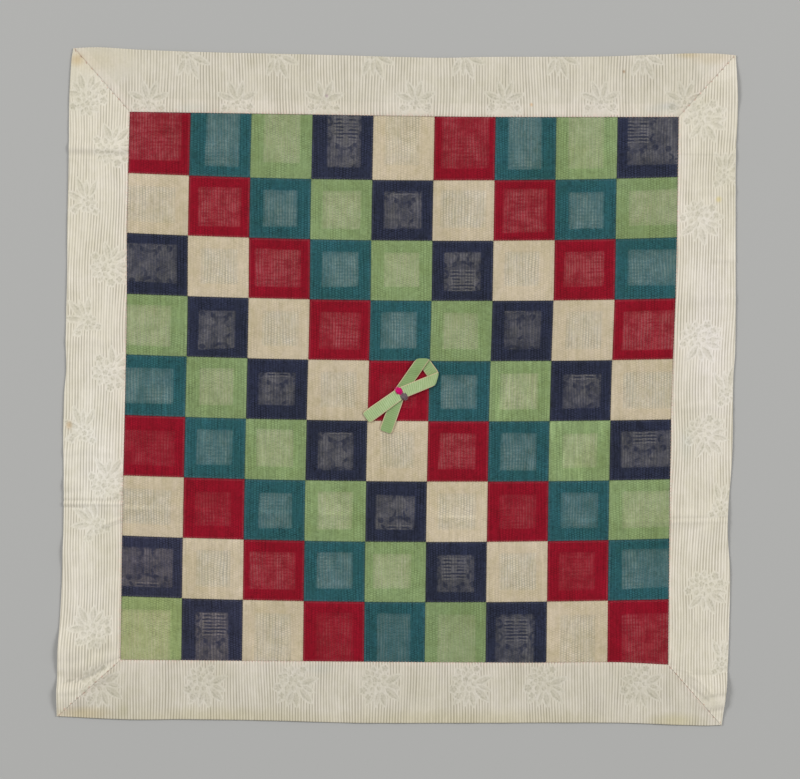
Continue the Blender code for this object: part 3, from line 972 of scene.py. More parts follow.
def add_bump(tree, shader, height, depth):
    """Feed a height of 0 to 1 into the shader as bump that is depth millimetres deep."""
    bump = add_node(tree, "ShaderNodeBump", {"Height": height, "Strength": 1.0, "Distance": depth * MM})
    set_input(tree, shader.inputs["Normal"], bump.outputs["Normal"])


# %% [markdown]
# ## The parts of a gauze
# A gauze is easier to follow in parts. The threads come first: ribs, knots and the plain weave,
# with ribs that wander a little and start at a new place in every square. Then the veil says how
# much of the window's pale tone shows, the texture adds what makes each thread a bit lighter or
# darker, the gain adds painted highlights in bold streaks and along the old fold, and the seam tone
# darkens each seam, with its own dark line and painted shade in its valley, and lays the pale
# sewing thread beside it.

# %% Threads, veil, texture and seams of a gauze
Threads = namedtuple("Threads", "crest knot weave")


def gauze_threads(tree, place, seed):
    """Crest of the ribs, knots and plain weave of one gauze."""
    x, y = split(tree, place)
    wander = times(tree, noise(tree, stretch(tree, place, (0.03, 0.02, 0.0)), 1.0), 5.0)
    across = maths(tree, "ADD", maths(tree, "ADD", x, wander), times(tree, seed, 50.0))
    ribs = use_group(tree, RIB_GROUP, {"Position": across, "Pitch": GAUZE_PITCH, "Fullness": 0.8})
    knots = use_group(
        tree, KNOT_GROUP, {"Across": across, "Along": y, "Pitch": GAUZE_PITCH, "Step": KNOT_STEP},
    )
    weave = use_group(tree, WEAVE_GROUP, {"Place": place, "Thread": GAUZE_THREAD})
    return Threads(ribs["Crest"], knots["Knot"], weave)


def gauze_veil(tree, gauze, uneven):
    """How much of the window's tone shows: thin and thick clouds, and the woven figures."""
    thinnest, thickest = 0.78 - 0.40 * gauze.cloudy, 0.78 + 0.37 * gauze.cloudy
    veil = between(tree, uneven["Thickness"], 0.41, 0.59, thinnest, thickest)
    figure_at = join(tree, read(tree, "figure_x"), read(tree, "figure_y"))
    figures = use_group(tree, FIGURE_GROUP, {"Place": figure_at, "Line": FIGURE_LINE})
    dense = times(tree, figures["Figure"], gauze.figured)
    veil = times_plus(tree, figures["Ground"], 0.9 * gauze.figured, veil)
    return times(tree, veil, times_plus(tree, dense, -0.85, 1.0))


def gauze_texture(tree, gauze, threads, uneven, own_place, place):
    """Light and dark of single threads, swinging about zero."""
    knotted = between(
        tree, noise(tree, stretch(tree, own_place, (0.055, 0.04, 0.0)), 2.0), 0.38, 0.6, 0.2, 1.0,
    )
    vine = use_group(tree, VINE_GROUP, {"Place": own_place, "Spacing": VINE_SPACING})["Vine"]
    streak = use_group(tree, SLUB_AND_HIGHLIGHT_GROUP, {"Place": place, "Width": 1.3, "Length": 60.0})["Streak"]
    texture = times(tree, less_half(tree, threads.knot), 0.20)
    texture = times_plus(tree, less_half(tree, threads.crest), 0.12, texture)
    texture = times(tree, texture, knotted)
    texture = times_plus(tree, less_half(tree, uneven["Grain"]), 0.42, texture)
    texture = times_plus(tree, less_half(tree, uneven["Cloud"]), 0.2 * gauze.cloudy, texture)
    texture = times_plus(tree, vine, -0.055, texture)
    return times_plus(tree, less_half(tree, streak), 0.10, texture)


def gauze_gain(tree, gauze, texture, window_mask, place):
    """What the colour is multiplied by: texture, painted highlight streaks and a painted highlight along the
    old fold.
    """
    # Bold streaks of painted highlight, where vertical folds catch the light.
    highlight_streak = use_group(tree, SLUB_AND_HIGHLIGHT_GROUP, {"Place": place, "Width": 4.5, "Length": 55.0})["Streak"]
    streak_highlight = times(tree, maths(tree, "POWER", highlight_streak, 3.0), read(tree, "streak_highlights"))
    lively = times_plus(tree, window_mask, 1.4 - gauze.lively, gauze.lively)
    gain = times_plus(tree, streak_highlight, 0.42, times_plus(tree, texture, lively, 1.0))
    # A painted highlight along the old fold, broken up by noise.
    old_fold_breaks = between(tree, noise(tree, stretch(tree, place, (0.02, 0.0, 0.0)), 2.0), 0.4, 0.6, 0.15, 1.0)
    old_fold_highlight = times(tree, times(tree, read(tree, "old_fold"), window_mask), old_fold_breaks)
    return times(tree, gain, times_plus(tree, old_fold_highlight, 0.26, 1.0))


def seam_tone(tree, colour, gain):
    """Lay the pale thread beside each seam, and darken the seam: its own dark line, and painted shade in its
    valley.
    """
    distance = read(tree, "seam_distance")
    beside = between(tree, distance, 1.3, 2.1, 1.0, 0.0)
    pale_seam = times(tree, between(tree, distance, 0.5, 0.9), beside)
    colour = blend(tree, times(tree, pale_seam, 0.035), colour, SEAM_THREAD)
    seam_line_and_shade = times(tree, between(tree, distance, 0.0, 0.8, 0.80, 1.0), read(tree, "tone"))
    return darken(tree, colour, times(tree, gain, seam_line_and_shade))


# %% Gauze materials
def make_gauze(name):
    gauze = GAUZES[name]
    material, tree, shader, place = start_material(name + "_gauze", 0.72, 0.08)
    seed = read(tree, "seed")
    threads = gauze_threads(tree, place, seed)
    moved = join(tree, times(tree, seed, 900.0))
    own_place = move(tree, place, moved)
    uneven = use_group(tree, UNEVEN_GROUP, {"Place": own_place, "Bands": 0.4 * gauze.swept})
    depth = read(tree, "window_depth")
    mask = use_group(tree, TURNING_GROUP, {"Depth": depth, "Place": place, "Wander": 0.5})["Window"]
    window = times(tree, mask, read(tree, "sheerness"))

    # The dye: window ribs and grooves under the veil, full colour on the turnings.
    open_noise = noise(tree, stretch(tree, own_place, (0.09, 0.02, 0.0)), 2.0)
    open_ribs = between(tree, open_noise, 0.35, 0.6, 0.35, 0.95)
    groove = times(tree, maths(tree, "SUBTRACT", 1.0, threads.crest), open_ribs)
    single = blend(tree, groove, (*gauze.window, 1.0), (*gauze.groove, 1.0))
    veiled = times(tree, window, gauze_veil(tree, gauze, uneven))
    colour = blend(tree, veiled, (*gauze.turning, 1.0), single)

    # The light and dark of threads, streaks, folds and seams.
    texture = gauze_texture(tree, gauze, threads, uneven, own_place, place)
    colour = seam_tone(tree, colour, gauze_gain(tree, gauze, texture, mask, place))
    colour = blend(tree, read(tree, "fading"), colour, FADED, "MULTIPLY")
    aged = use_group(tree, AGE_GROUP, {"Colour": colour, "Place": place, "Amount": 0.2})["Colour"]
    set_input(tree, shader.inputs["Base Color"], aged)

    # Transparency, roughness and the relief that is too fine for the mesh.
    open_part = times(tree, window, times_plus(tree, threads.weave["Hole"], 0.5, groove))
    alpha = times_plus(tree, open_part, -gauze.sheer, 1.0, clamp=True)
    set_input(tree, shader.inputs["Alpha"], alpha)
    set_input(tree, shader.inputs["Roughness"], times_plus(tree, threads.crest, -0.12, 0.8))
    fine = times(tree, threads.weave["Height"], 0.3)
    height = times_plus(tree, threads.crest, 0.45, fine)
    add_bump(tree, shader, times_plus(tree, mask, -0.5, height), 0.18)
    return material


for cloth in CLOTHS:
    panel.data.materials.append(make_gauze(cloth))
print("gauze materials:", [slot.name for slot in panel.data.materials])

# %% [markdown]
# ## Damask figures for the border
# The border silk is ribbed, and where a figure is woven the ribs stop and the ground goes plain.
# The figures are flower heads with pointed leaves. Each one is drawn from two simple shapes: a
# leaf, whose width follows a sine from base to tip, and a blossom, whose edge swings in and out
# round the circle. Both give the depth inside the shape in millimetres, so one number serves for
# the plain ground round a shape, for its dark body and for the pale rim about it.

# %% Leaf and blossom shapes
Leaf = namedtuple("Leaf", "base_x base_y tip_x tip_y width")
Blossom = namedtuple("Blossom", "x y radius petals")
Ground = namedtuple("Ground", "x y reach_x reach_y")
Motif = namedtuple("Motif", "blossoms leaves grounds")


def petal_ring(x, y, inner, outer, width, count, turn):
    """Petals that point outward round a centre, each one a short leaf."""
    angles = [math.radians(turn + 360.0 * index / count) for index in range(count)]
    return tuple(
        Leaf(x + inner * math.cos(angle), y + inner * math.sin(angle),
             x + outer * math.cos(angle), y + outer * math.sin(angle), width)
        for angle in angles
    )


MOTIFS = {
    "peony": Motif(
        (
            Blossom(-4, 5, 2.6, 5), Blossom(-15, -4, 3.4, 5), Blossom(-11, -10.5, 2.8, 4),
            Blossom(6, 14.5, 3.0, 5),
        ),
        petal_ring(-4, 5, 6.0, 12.4, 4.0, 9, 12) + petal_ring(-5, 6, 2.0, 7.6, 3.4, 6, 40) + (
            Leaf(5, 1, 20, 8, 5.0), Leaf(5, -3, 17, -15, 5.6), Leaf(1, -6, 4, -20, 5.2),
            Leaf(7, 0, 18, -5, 3.4), Leaf(-5, -6, -14, -17, 4.4), Leaf(-1, -6, -5, -19, 3.4),
        ),
        (Ground(0, -2, 13, 10),),
    ),
    "sprig": Motif(
        (Blossom(3, -8, 2.4, 5), Blossom(-9, -14, 2.6, 4), Blossom(10, -15, 2.6, 4)),
        petal_ring(3, -8, 2.6, 8.0, 4.0, 8, 10) + (
            Leaf(0, -2, -7, 16, 5.0), Leaf(-2, -4, -17, 3, 4.6), Leaf(5, -1, 11, 13, 4.4),
            Leaf(-1, -8, -14, -14, 3.6), Leaf(2, -1, 2, 13, 3.2),
        ),
        (Ground(0, -5, 9, 9),),
    ),
    "spray": Motif(
        (Blossom(1, -3, 2.2, 5), Blossom(12, -7, 3.2, 5), Blossom(-11, -8, 2.8, 4)),
        petal_ring(1, -3, 2.2, 7.4, 4.0, 7, 5) + (
            Leaf(-2, -1, -17, 5, 4.8), Leaf(-1, 1, -7, 16, 4.6), Leaf(2, 1, 6, 16, 4.4),
            Leaf(5, 0, 18, 6, 4.6), Leaf(-4, -6, -15, -13, 3.4), Leaf(5, -6, 16, -13, 3.4),
        ),
        (Ground(0, -10, 15, 7), Ground(0, 2, 7, 7)),
    ),
}


def leaf_depth(x, y, leaf):
    """Depth inside a leaf, and distance from its midrib; the depth is below zero outside."""
    run_x, run_y = leaf.tip_x - leaf.base_x, leaf.tip_y - leaf.base_y
    length = math.hypot(run_x, run_y)
    along = ((x - leaf.base_x) * run_x + (y - leaf.base_y) * run_y) / length ** 2
    aside = ((x - leaf.base_x) * run_y - (y - leaf.base_y) * run_x) / length
    within = np.clip(along, 0.0, 1.0)
    half = leaf.width / 2 * np.sin(math.pi * within ** 0.85)
    depth = half - np.abs(aside) - length * np.abs(along - within)
    return depth, aside


def blossom_depth(x, y, blossom):
    """Depth inside a scalloped flower head, and how near each point is to a gap between petals."""
    away_x, away_y = x - blossom.x, y - blossom.y
    swing = np.abs(np.cos(blossom.petals * np.arctan2(away_y, away_x) / 2 + blossom.radius))
    depth = blossom.radius * (0.74 + 0.26 * swing) - np.hypot(away_x, away_y)
    return depth, swing


def away_from(x, y, oval):
    """Distance from the middle of an oval place: 1 on its rim."""
    return np.hypot((x - oval.x) / oval.reach_x, (y - oval.y) / oval.reach_y)


def draw_motif(x, y, motif):
    """Plain ground, dark body and pale rim of one motif: three arrays from 0 to 1."""
    plain, dark, pale = (np.zeros(np.shape(x)) for _ in range(3))
    for ground in motif.grounds:
        plain = np.maximum(plain, smooth_step((1.0 - away_from(x, y, ground)) * 8.0))
    shapes = [leaf_depth(x, y, leaf) for leaf in motif.leaves]
    shapes += [blossom_depth(x, y, blossom) for blossom in motif.blossoms]
    for depth, aside in shapes:
        inside = smooth_step(depth / 0.7 + 0.5)
        plain = np.maximum(plain, smooth_step((depth + 2.0) / 0.8))
        body = inside * (0.45 + 0.4 * smooth_step(aside + 0.5))
        dark = np.maximum(dark * (1.0 - inside), body)
        dark = dark * (1.0 - 0.7 * inside * hump(aside / 0.8))
        pale = np.maximum(pale * (1.0 - inside), hump((depth + 0.6) / 1.1) * (1.0 - inside))
        dark = dark * (1.0 - 0.8 * hump((depth + 0.5) / 0.9) * (1.0 - inside))
    return plain, dark, pale


print("motifs drawn afresh:", list(MOTIFS))

# %% [markdown]
# ## Where the figures fall
# The damask was woven with its motifs in staggered rows and then cut into strips, so each side
# shows the rows at its own spacing, and the outer row at the top is cut through by the edge.
# The places are kept as short rows. A row with one height is a list of x positions.

# %% Places of the motifs
Spot = namedtuple("Spot", "x y kind turn flip")
SPOTS = [Spot(x, -271, "peony", turn, 1) for x, turn in (
    (-270, 10), (-175, 0), (-93, -6), (-16, 4), (66, 0), (134, -4), (221, 3),
)]
SPOTS += [Spot(x, 261, "spray", 0, 1 if index % 2 else -1) for index, x in enumerate(
    (-225, -146, -66, 16, 98, 184, 262),
)]
SPOTS += [Spot(x, 296, "sprig", 180, 1) for x in (-188, -107, -20, 62, 148, 225)]
SPOTS += [Spot(x, y, kind, turn, 1) for x, y, kind, turn in (
    (-282, 264, "peony", 150), (-258, 218, "peony", 90), (-284, 174, "sprig", 0),
    (-261, 110, "peony", 80), (-286, 65, "sprig", 20), (-259, 15, "peony", 70), (-287, -34, "sprig", 0),
    (-262, -85, "peony", 100), (-279, -121, "sprig", 30), (-278, -220, "peony", 160),
)]
SPOTS += [Spot(x, y, kind, turn, -1) for x, y, kind, turn in (
    (279, 243, "peony", 75), (275, 151, "peony", 60), (300, 199, "sprig", 0), (275, 42, "peony", 80),
    (301, 1, "sprig", 10), (280, -44, "peony", 90), (298, -103, "sprig", -10), (280, -185, "peony", 70),
    (298, -244, "sprig", 0),
)]
# Plain stretches of silk without any figure.
PLAIN_PLACES = (Ground(-273, 292, 42, 24), Ground(285, -286, 16, 8))
MOTIF_REACH = 26.0


def damask_at(x, y):
    """Plain ground, dark bodies and pale rims of all the motifs."""
    plain, dark, pale = (np.zeros(np.shape(x)) for _ in range(3))
    for ground in PLAIN_PLACES:
        plain = np.maximum(plain, 0.85 * smooth_step((1.0 - away_from(x, y, ground)) * 3.0))
    for spot in SPOTS:
        near = np.hypot(x - spot.x, y - spot.y) < MOTIF_REACH
        if not near.any():
            continue
        cosine, sine = math.cos(math.radians(spot.turn)), math.sin(math.radians(spot.turn))
        away_x, away_y = x[near] - spot.x, y[near] - spot.y
        local_x = (away_x * cosine + away_y * sine) * spot.flip
        local_y = away_y * cosine - away_x * sine
        drawn = draw_motif(local_x, local_y, MOTIFS[spot.kind])
        for whole, part in zip((plain, dark, pale), drawn):
            whole[near] = np.maximum(whole[near], part)
    return plain, dark, pale


print(len(SPOTS), "motifs on the border")

# %% [markdown]
# ## Stains, show-through and painted light
# The pale silk has aged unevenly. Tan water marks sit at three corners, a few small spots of
# other colours lie about, and near the patchwork the turned-in edge behind makes the silk look
# whiter, with a blue cast where a dark square is turned in. Long pale bluish marks on the side
# strips are painted sheen, and dark lines along the old creases are painted shade. All of it is
# one tint, a colour that the silk's own colour is multiplied by, kept on the points of the mesh.

# %% Tint of the border silk
TintMark = namedtuple("TintMark", "x y reach_x reach_y colour")
TAN = (0.90, 0.84, 0.70)
BLUISH = (0.93, 0.96, 0.985)
STAINS_AND_SHEEN = (
    TintMark(-272, 297, 44, 18, (0.985, 0.96, 0.90)), TintMark(-291, 297, 10, 9, (0.90, 0.80, 0.66)),
    TintMark(-285, -297, 40, 9, TAN), TintMark(252, -304, 34, 11, (0.90, 0.88, 0.74)), TintMark(264, 302, 16, 6, TAN),
    TintMark(286, 299, 32, 10, (0.955, 0.91, 0.84)), TintMark(206, 286, 2.2, 2.2, (0.6, 0.45, 0.35)),
    TintMark(-249, -294, 8, 10, (0.88, 0.88, 0.80)), TintMark(247, 255, 14, 5, (0.88, 0.90, 0.93)),
    TintMark(-290, 262, 26, 30, (0.955, 0.96, 0.955)), TintMark(-282, -268, 34, 16, (0.95, 0.945, 0.93)),
    # The long pale bluish marks on this line and the next are painted sheen on the side strips.
    TintMark(282, 40, 34, 150, (1.075, 1.075, 1.15)), TintMark(-280, -60, 34, 130, (1.06, 1.075, 1.12)),
    TintMark(-280, -200, 34, 70, (1.012, 1.018, 1.035)),
    TintMark(292, 170, 4, 4, (0.97, 0.9, 0.6)), TintMark(-298, -35, 4.5, 6, (0.86, 0.72, 0.58)),
    TintMark(-64, 264, 2.2, 2.2, (0.75, 0.62, 0.78)), TintMark(122, 256, 2.2, 2.2, (0.95, 0.72, 0.5)),
    TintMark(-186, 252, 24, 8, BLUISH), TintMark(238, 252, 20, 7, BLUISH), TintMark(262, -52, 9, 22, BLUISH),
    TintMark(-70, -256, 20, 8, BLUISH), TintMark(60, -303, 200, 14, (0.93, 0.915, 0.82)),
    TintMark(-160, -301, 120, 14, (0.92, 0.905, 0.80)),
)
# Painted shade along old creases: dark lines where the creases fall in shade.
CreaseShade = namedtuple("CreaseShade", "half_width depth line")
CREASE_SHADES = (
    CreaseShade(2.2, 0.25, ((-303, -267.5), (-294.5, -267), (-286, -265), (-276, -261), (-266, -254.5))),
    CreaseShade(7.0, 0.06, ((-300, -262), (-286, -260), (-276, -256), (-262, -249))),
    CreaseShade(8.0, 0.07, ((-276, -235), (-262, -238), (-253, -236))),
    CreaseShade(1.3, 0.13, ((-307, -103.0), (-249, -103.4))),
    CreaseShade(1.2, 0.09, ((-307, -109.2), (-284, -109.8))),
    CreaseShade(1.2, 0.13, ((-268, -129.5), (-250, -123))),
    CreaseShade(1.2, 0.08, ((-262, -99), (-250, -95))),
    CreaseShade(4.5, 0.09, ((263, -264), (281, -285))),
    CreaseShade(1.5, 0.10, ((261, -267), (283, -285))),
    CreaseShade(1.3, 0.07, ((250, -119.4), (303, -118.4))),
    CreaseShade(1.2, 0.08, ((254, 211), (306, 210))),
    CreaseShade(4.5, 0.06, ((-299, 213), (-246, 212))),
    CreaseShade(1.3, 0.08, ((252, -257), (268, -261), (298, -261))),
)
# How bright each strip is: the top and bottom strips darker than the two sides.
STRIP_GAINS = {"top": 0.885, "right": 0.975, "bottom": 0.86, "left": 0.985}
TURNED_IN = 12.0
PINK_FLECK = np.array((1.06, 0.985, 0.99))
WHITER = dict.fromkeys(SIDES, np.array((1.02, 1.015, 1.025))) | {"top": np.array((1.055, 1.045, 1.06))}


def border_tint(x, y, from_inner, side_name):
    """Colour that the silk is multiplied by at each point."""
    tint = np.full(np.shape(x) + (3,), STRIP_GAINS[side_name])
    # Stains, and the painted sheen on the side strips.
    for tint_mark in STAINS_AND_SHEEN:
        tint *= 1.0 - hump(away_from(x, y, tint_mark))[..., None] * (1.0 - np.array(tint_mark.colour))
    # Painted shade along the old creases.
    for crease_shade in CREASE_SHADES:
        away = distance_to_line(x, y, crease_shade.line) / crease_shade.half_width
        tint *= 1.0 - crease_shade.depth * hump(away)[..., None]
    ripple = np.sin(x * 0.9 + y * 0.7) + np.sin(x * 0.37 - y * 0.83 + 1.3) + np.sin(x * 2.1 + y * 1.7)
    fleck = smooth_step(ripple * 0.7)[..., None] * hump((from_inner - 0.8) / 4.5)[..., None]
    tint *= 1.0 + fleck * (PINK_FLECK - 1.0)
    doubled = 1.0 - smooth_step((from_inner - TURNED_IN) / 1.5 + 0.5)
    return tint * (1.0 + doubled[..., None] * (WHITER[side_name] - 1.0))


print(len(STAINS_AND_SHEEN), "stains and", len(CREASE_SHADES), "painted_crease_shades")

# %% [markdown]
# ## The border strips
# Each strip is a doubled cloth: it starts at the patchwork, runs out to the edge of the cloth,
# folds over, and comes back underneath. So one grid follows that path, in three stretches: the
# face, the fold and the back. The face is fine enough for real ribs in the mesh, five points to
# a rib. On the side strips the ribs run along the strip and on the top and bottom strips across
# it, because all four were cut the same way from the cloth.

# %% Build the border strips
FACE_LEVEL = 1.3
BACK_LEVEL = 0.3
FOLD_RADIUS = (FACE_LEVEL - BACK_LEVEL) / 2
RIB_PITCH = {"top": 2.69, "bottom": 2.59, "left": 2.55, "right": 2.57}
POINTS_PER_RIB = 5
RIB_RISE = 0.16
PLAIN_RISE = 0.06
RIM_RISE = 0.05
BODY_DIP = 0.06
PUCKER_RISE = 0.32
BORDER_WIDTH = 58.0
LONG_STEP = 1.15
FOLD_STEPS = 5
BACK_STEPS = 5
MITRE_STEP = 7.4
# The ribs lean a little to and fro: wavelength in x and in y, sideways reach.
LEANS = ((230.0, 190.0, 0.7), (-97.0, 83.0, 0.35), (61.0, 140.0, 0.2))
RUNS_ACROSS = ("top", "bottom")


def strip_ends(side_name, share):
    """Inner and outer end of each line across a strip."""
    outer = edge_points(CLOTH_CORNERS, CLOTH_EDGES, side_name, share)
    if side_name not in RUNS_ACROSS:
        return edge_points(PANEL_CORNERS, PANEL_EDGES, side_name, share), outer
    side = SIDES[side_name]
    start, end = np.array(PANEL_CORNERS[side.start]), np.array(PANEL_CORNERS[side.end])
    x = outer[:, 0]
    panel_share = np.clip((x - start[0]) / (end[0] - start[0]), 0.0, 1.0)
    panel_line = edge_points(PANEL_CORNERS, PANEL_EDGES, side_name, panel_share)
    inner_y = panel_line[:, 1].copy()
    for corner, name in ((start, side.start), (end, side.end)):
        tip = np.array(CLOTH_CORNERS[name])
        beyond = np.abs(x - tip[0]) < abs(corner[0] - tip[0])
        reach = (x[beyond] - corner[0]) / (tip[0] - corner[0])
        inner_y[beyond] = corner[1] + (tip[1] - corner[1]) * reach
    return np.stack([x, inner_y], axis=-1), outer


def section_of_strip(side_name):
    """Rows across a strip: share of its width, reach beyond it in mm, level, and 1 on the face."""
    step = LONG_STEP if side_name in RUNS_ACROSS else RIB_PITCH[side_name] / POINTS_PER_RIB
    face = np.linspace(0.0, 1.0, round(BORDER_WIDTH / step) + 1)
    angles = np.linspace(math.pi / 2, -math.pi / 2, FOLD_STEPS + 2)[1:-1]
    back = np.linspace(1.0, 0.0, BACK_STEPS + 1)
    middle = (FACE_LEVEL + BACK_LEVEL) / 2
    reach = np.concatenate([face, np.ones(len(angles)), back])
    extra = np.concatenate([np.zeros(len(face)), FOLD_RADIUS * np.cos(angles), np.zeros(len(back))])
    turning = middle + FOLD_RADIUS * np.sin(angles)
    level = np.concatenate([np.full(len(face), FACE_LEVEL), turning, np.full(len(back), BACK_LEVEL)])
    is_face = np.concatenate([np.ones(len(face)), np.zeros(len(angles) + len(back))])
    return reach, extra, level, is_face


def rib_numbers(side_name, x, y):
    """How many ribs each point is from a straight thread; whole numbers are crests."""
    turns = [(size, x / long_x + y / long_y) for long_x, long_y, size in LEANS]
    lean = sum(size * np.sin(2 * math.pi * turn) for size, turn in turns)
    if side_name not in RUNS_ACROSS:
        start, end = (CLOTH_CORNERS[name] for name in (SIDES[side_name].start, SIDES[side_name].end))
        x = x - start[0] - (end[0] - start[0]) * (y - start[1]) / (end[1] - start[1])
    return (x + lean) / RIB_PITCH[side_name]


def puckers_at(x, y):
    """Small puckers where the hand stitches pull the mitres together."""
    height = np.zeros(np.shape(x))
    for name in CORNER_NAMES:
        outer, inner = np.array(CLOTH_CORNERS[name]), np.array(PANEL_CORNERS[name])
        along = (inner - outer) / math.dist(inner, outer)
        travelled = (x - outer[0]) * along[0] + (y - outer[1]) * along[1]
        away = distance_to_line(x, y, (tuple(outer), tuple(inner)))
        swell = 0.5 + 0.5 * np.sin(2 * math.pi * travelled / MITRE_STEP + 1.2 * np.sin(travelled / 9.0))
        height += PUCKER_RISE * hump(away / 5.5) * (swell - 0.4)
    return height


def make_border(side_name):
    """One strip: its face with ribs and figures, the fold, and the back layer."""
    side = SIDES[side_name]
    length = math.dist(CLOTH_CORNERS[side.start], CLOTH_CORNERS[side.end])
    step = RIB_PITCH[side_name] / POINTS_PER_RIB if side_name in RUNS_ACROSS else LONG_STEP
    share = np.linspace(0.0, 1.0, round(length / step) + 1)
    inner, outer = strip_ends(side_name, share)
    reach, extra, level, is_face = section_of_strip(side_name)
    outward = np.array(side.outward, dtype=float)
    edge = outer - outward * FOLD_RADIUS
    plan = inner[:, None] + (edge - inner)[:, None] * reach[None, :, None] + outward * extra[None, :, None]
    x, y = plan[..., 0], plan[..., 1]
    from_inner = np.linalg.norm(plan - inner[:, None], axis=-1)
    face = np.broadcast_to(is_face, x.shape)
    plain, dark, pale = (part * face for part in damask_at(x, y))
    ribs = rib_numbers(side_name, x, y)
    relief = RIB_RISE * (0.5 + 0.5 * np.cos(2 * math.pi * ribs)) * (1.0 - plain)
    relief = relief + plain * PLAIN_RISE + pale * RIM_RISE - dark * BODY_DIP + puckers_at(x, y)
    sinking = 0.5 * (1.0 - smooth_step(from_inner / 2.2))
    z = cloth_height(x, y) + level + face * (relief - sinking)
    faces = grid_faces(*x.shape)
    if side_name in ("top", "right"):
        faces = faces[:, ::-1]
    piece = make_mesh("border_silk_" + side_name, np.stack([x, y, z], axis=-1), faces)
    store(piece, "rib_number", ribs)
    store(piece, "plain", plain)
    store(piece, "dark_figure", dark)
    store(piece, "pale_figure", pale)
    store_colour(piece, "tint", border_tint(x, y, from_inner, side_name))
    return piece


borders = {name: make_border(name) for name in SIDES}

# %% [markdown]
# ## Finish: ribbed damask
# The same rib group gives the stripe, now counted in ribs, because the mesh carries the number of
# each rib. The crest is pale and the groove greyer, partly because the open weave shows the ground
# and partly as painted shade in the groove. Where the mesh says the ground is plain, the
# stripe fades out and the figure comes in: dark mottled bodies, a little greener than the silk
# around them, each with a pale rim. Last comes the tint that the mesh keeps on its points, with
# its painted sheen and painted crease shade.

# %% Damask material
DAMASK_CREST = (0.800, 0.745, 0.620, 1.0)
# The groove colour is partly the ground showing through the open weave and partly painted shade.
DAMASK_GROOVE = (0.470, 0.430, 0.335, 1.0)
DAMASK_PLAIN = (0.735, 0.685, 0.565, 1.0)
DAMASK_DARK = (0.470, 0.440, 0.340, 1.0)
DAMASK_PALE = (0.840, 0.800, 0.700, 1.0)


def damask_ribs(tree, place, number, crest):
    """Colour of the ribbed ground: the groove greyer, partly open weave and partly painted shade; the
    grooves are clearer in some places and on some ribs.
    """
    y = split(tree, place)[1]
    rib_place = join(tree, times(tree, number, 0.83), times(tree, y, 0.014))
    own_rib = between(tree, noise(tree, rib_place, 1.0), 0.3, 0.7, -0.13, 0.16)
    clear = between(tree, noise(tree, stretch(tree, place, (0.05, 0.022, 0.0)), 3.0), 0.3, 0.65, 0.55, 1.0)
    clear = maths(tree, "ADD", clear, own_rib)
    groove = times(tree, maths(tree, "SUBTRACT", 1.0, crest), clear, clamp=True)
    return blend(tree, groove, DAMASK_CREST, DAMASK_GROOVE)


def damask_figure(tree, place):
    """Colour of the figured ground, and how dark the body of a figure is."""
    mottle = between(tree, noise(tree, stretch(tree, place, (0.5, 0.5, 0.0)), 3.0, 0.7), 0.3, 0.75)
    mottled = times_plus(tree, mottle, 0.6, 0.35)
    body = times(tree, read(tree, "dark_figure"), mottled)
    speckle = times_plus(tree, mottle, 0.22, body, clamp=True)
    colour = blend(tree, speckle, DAMASK_PLAIN, DAMASK_DARK)
    rim = times(tree, read(tree, "pale_figure"), times_plus(tree, mottle, -0.35, 0.42))
    return blend(tree, rim, colour, DAMASK_PALE), body


def make_damask():
    material, tree, shader, place = start_material("cream_damask", 0.62, 0.12)
    number = read(tree, "rib_number")
    crest = use_group(tree, RIB_GROUP, {"Position": number, "Pitch": 1.0, "Fullness": 0.75})["Crest"]
    weave = use_group(tree, WEAVE_GROUP, {"Place": place, "Thread": 0.38})
    streak = use_group(tree, SLUB_AND_HIGHLIGHT_GROUP, {"Place": place, "Width": 2.2, "Length": 30.0})["Streak"]
    figured, body = damask_figure(tree, place)
    colour = blend(tree, read(tree, "plain"), damask_ribs(tree, place, number, crest), figured)
    colour = darken(tree, colour, times_plus(tree, streak, 0.08, 0.96))
    tint = add_node(tree, "ShaderNodeAttribute", attribute_name="tint").outputs["Color"]
    colour = blend(tree, 1.0, colour, tint, "MULTIPLY")
    aged = use_group(tree, AGE_GROUP, {"Colour": colour, "Place": place, "Amount": 0.09})["Colour"]
    set_input(tree, shader.inputs["Base Color"], aged)
    set_input(tree, shader.inputs["Roughness"], times_plus(tree, crest, -0.12, 0.72))
    height = times_plus(tree, weave["Height"], 0.35, times(tree, body, 0.5))
    add_bump(tree, shader, height, 0.12)
    return material


damask = make_damask()
for piece in borders.values():
    piece.data.materials.append(damask)
print("border material:", damask.name)

# %% [markdown]
# ## The ribbon loop
# One flat green ribbon starts at its lower left end, runs up to the right, folds back over
# itself twice and crosses itself once. It is built as rows of points across straight legs, the
# way one would fold a paper strip: each fold lies halfway between the two headings, and wraps
# half round a thin cylinder. Many rows make room for the fine cross ribs of grosgrain.

# %% Route of the ribbon
PANEL_THICK = 1.2
RIBBON_THICK = 1.0
LAYER_LOW = 0.3 + RIBBON_THICK / 2
LAYER_HIGH = LAYER_LOW + RIBBON_THICK + 0.4
Leg = namedtuple("Leg", "length heading width_start width_end height_start height_end ramp")
RIBBON_START = (-28.3, -28.6)
RIBBON_LEGS = (
    Leg(39.0, 35.5, 12.0, 10.8, LAYER_LOW, LAYER_HIGH, (0.12, 0.42)),
    Leg(34.5, 21.9, 10.8, 10.5, LAYER_HIGH, LAYER_HIGH, (0.0, 1.0)),
    Leg(21.5, 125.1, 10.5, 10.4, LAYER_LOW, LAYER_LOW, (0.0, 1.0)),
    Leg(36.5, 235.2, 10.4, 10.8, LAYER_HIGH, LAYER_LOW, (0.25, 0.52)),
    Leg(38.0, 250.2, 10.8, 12.0, LAYER_LOW, LAYER_LOW, (0.0, 1.0)),
)
ROWS_PER_MM = 2.6
ROWS_PER_FOLD = 8
RIBBON_COLUMNS = 13
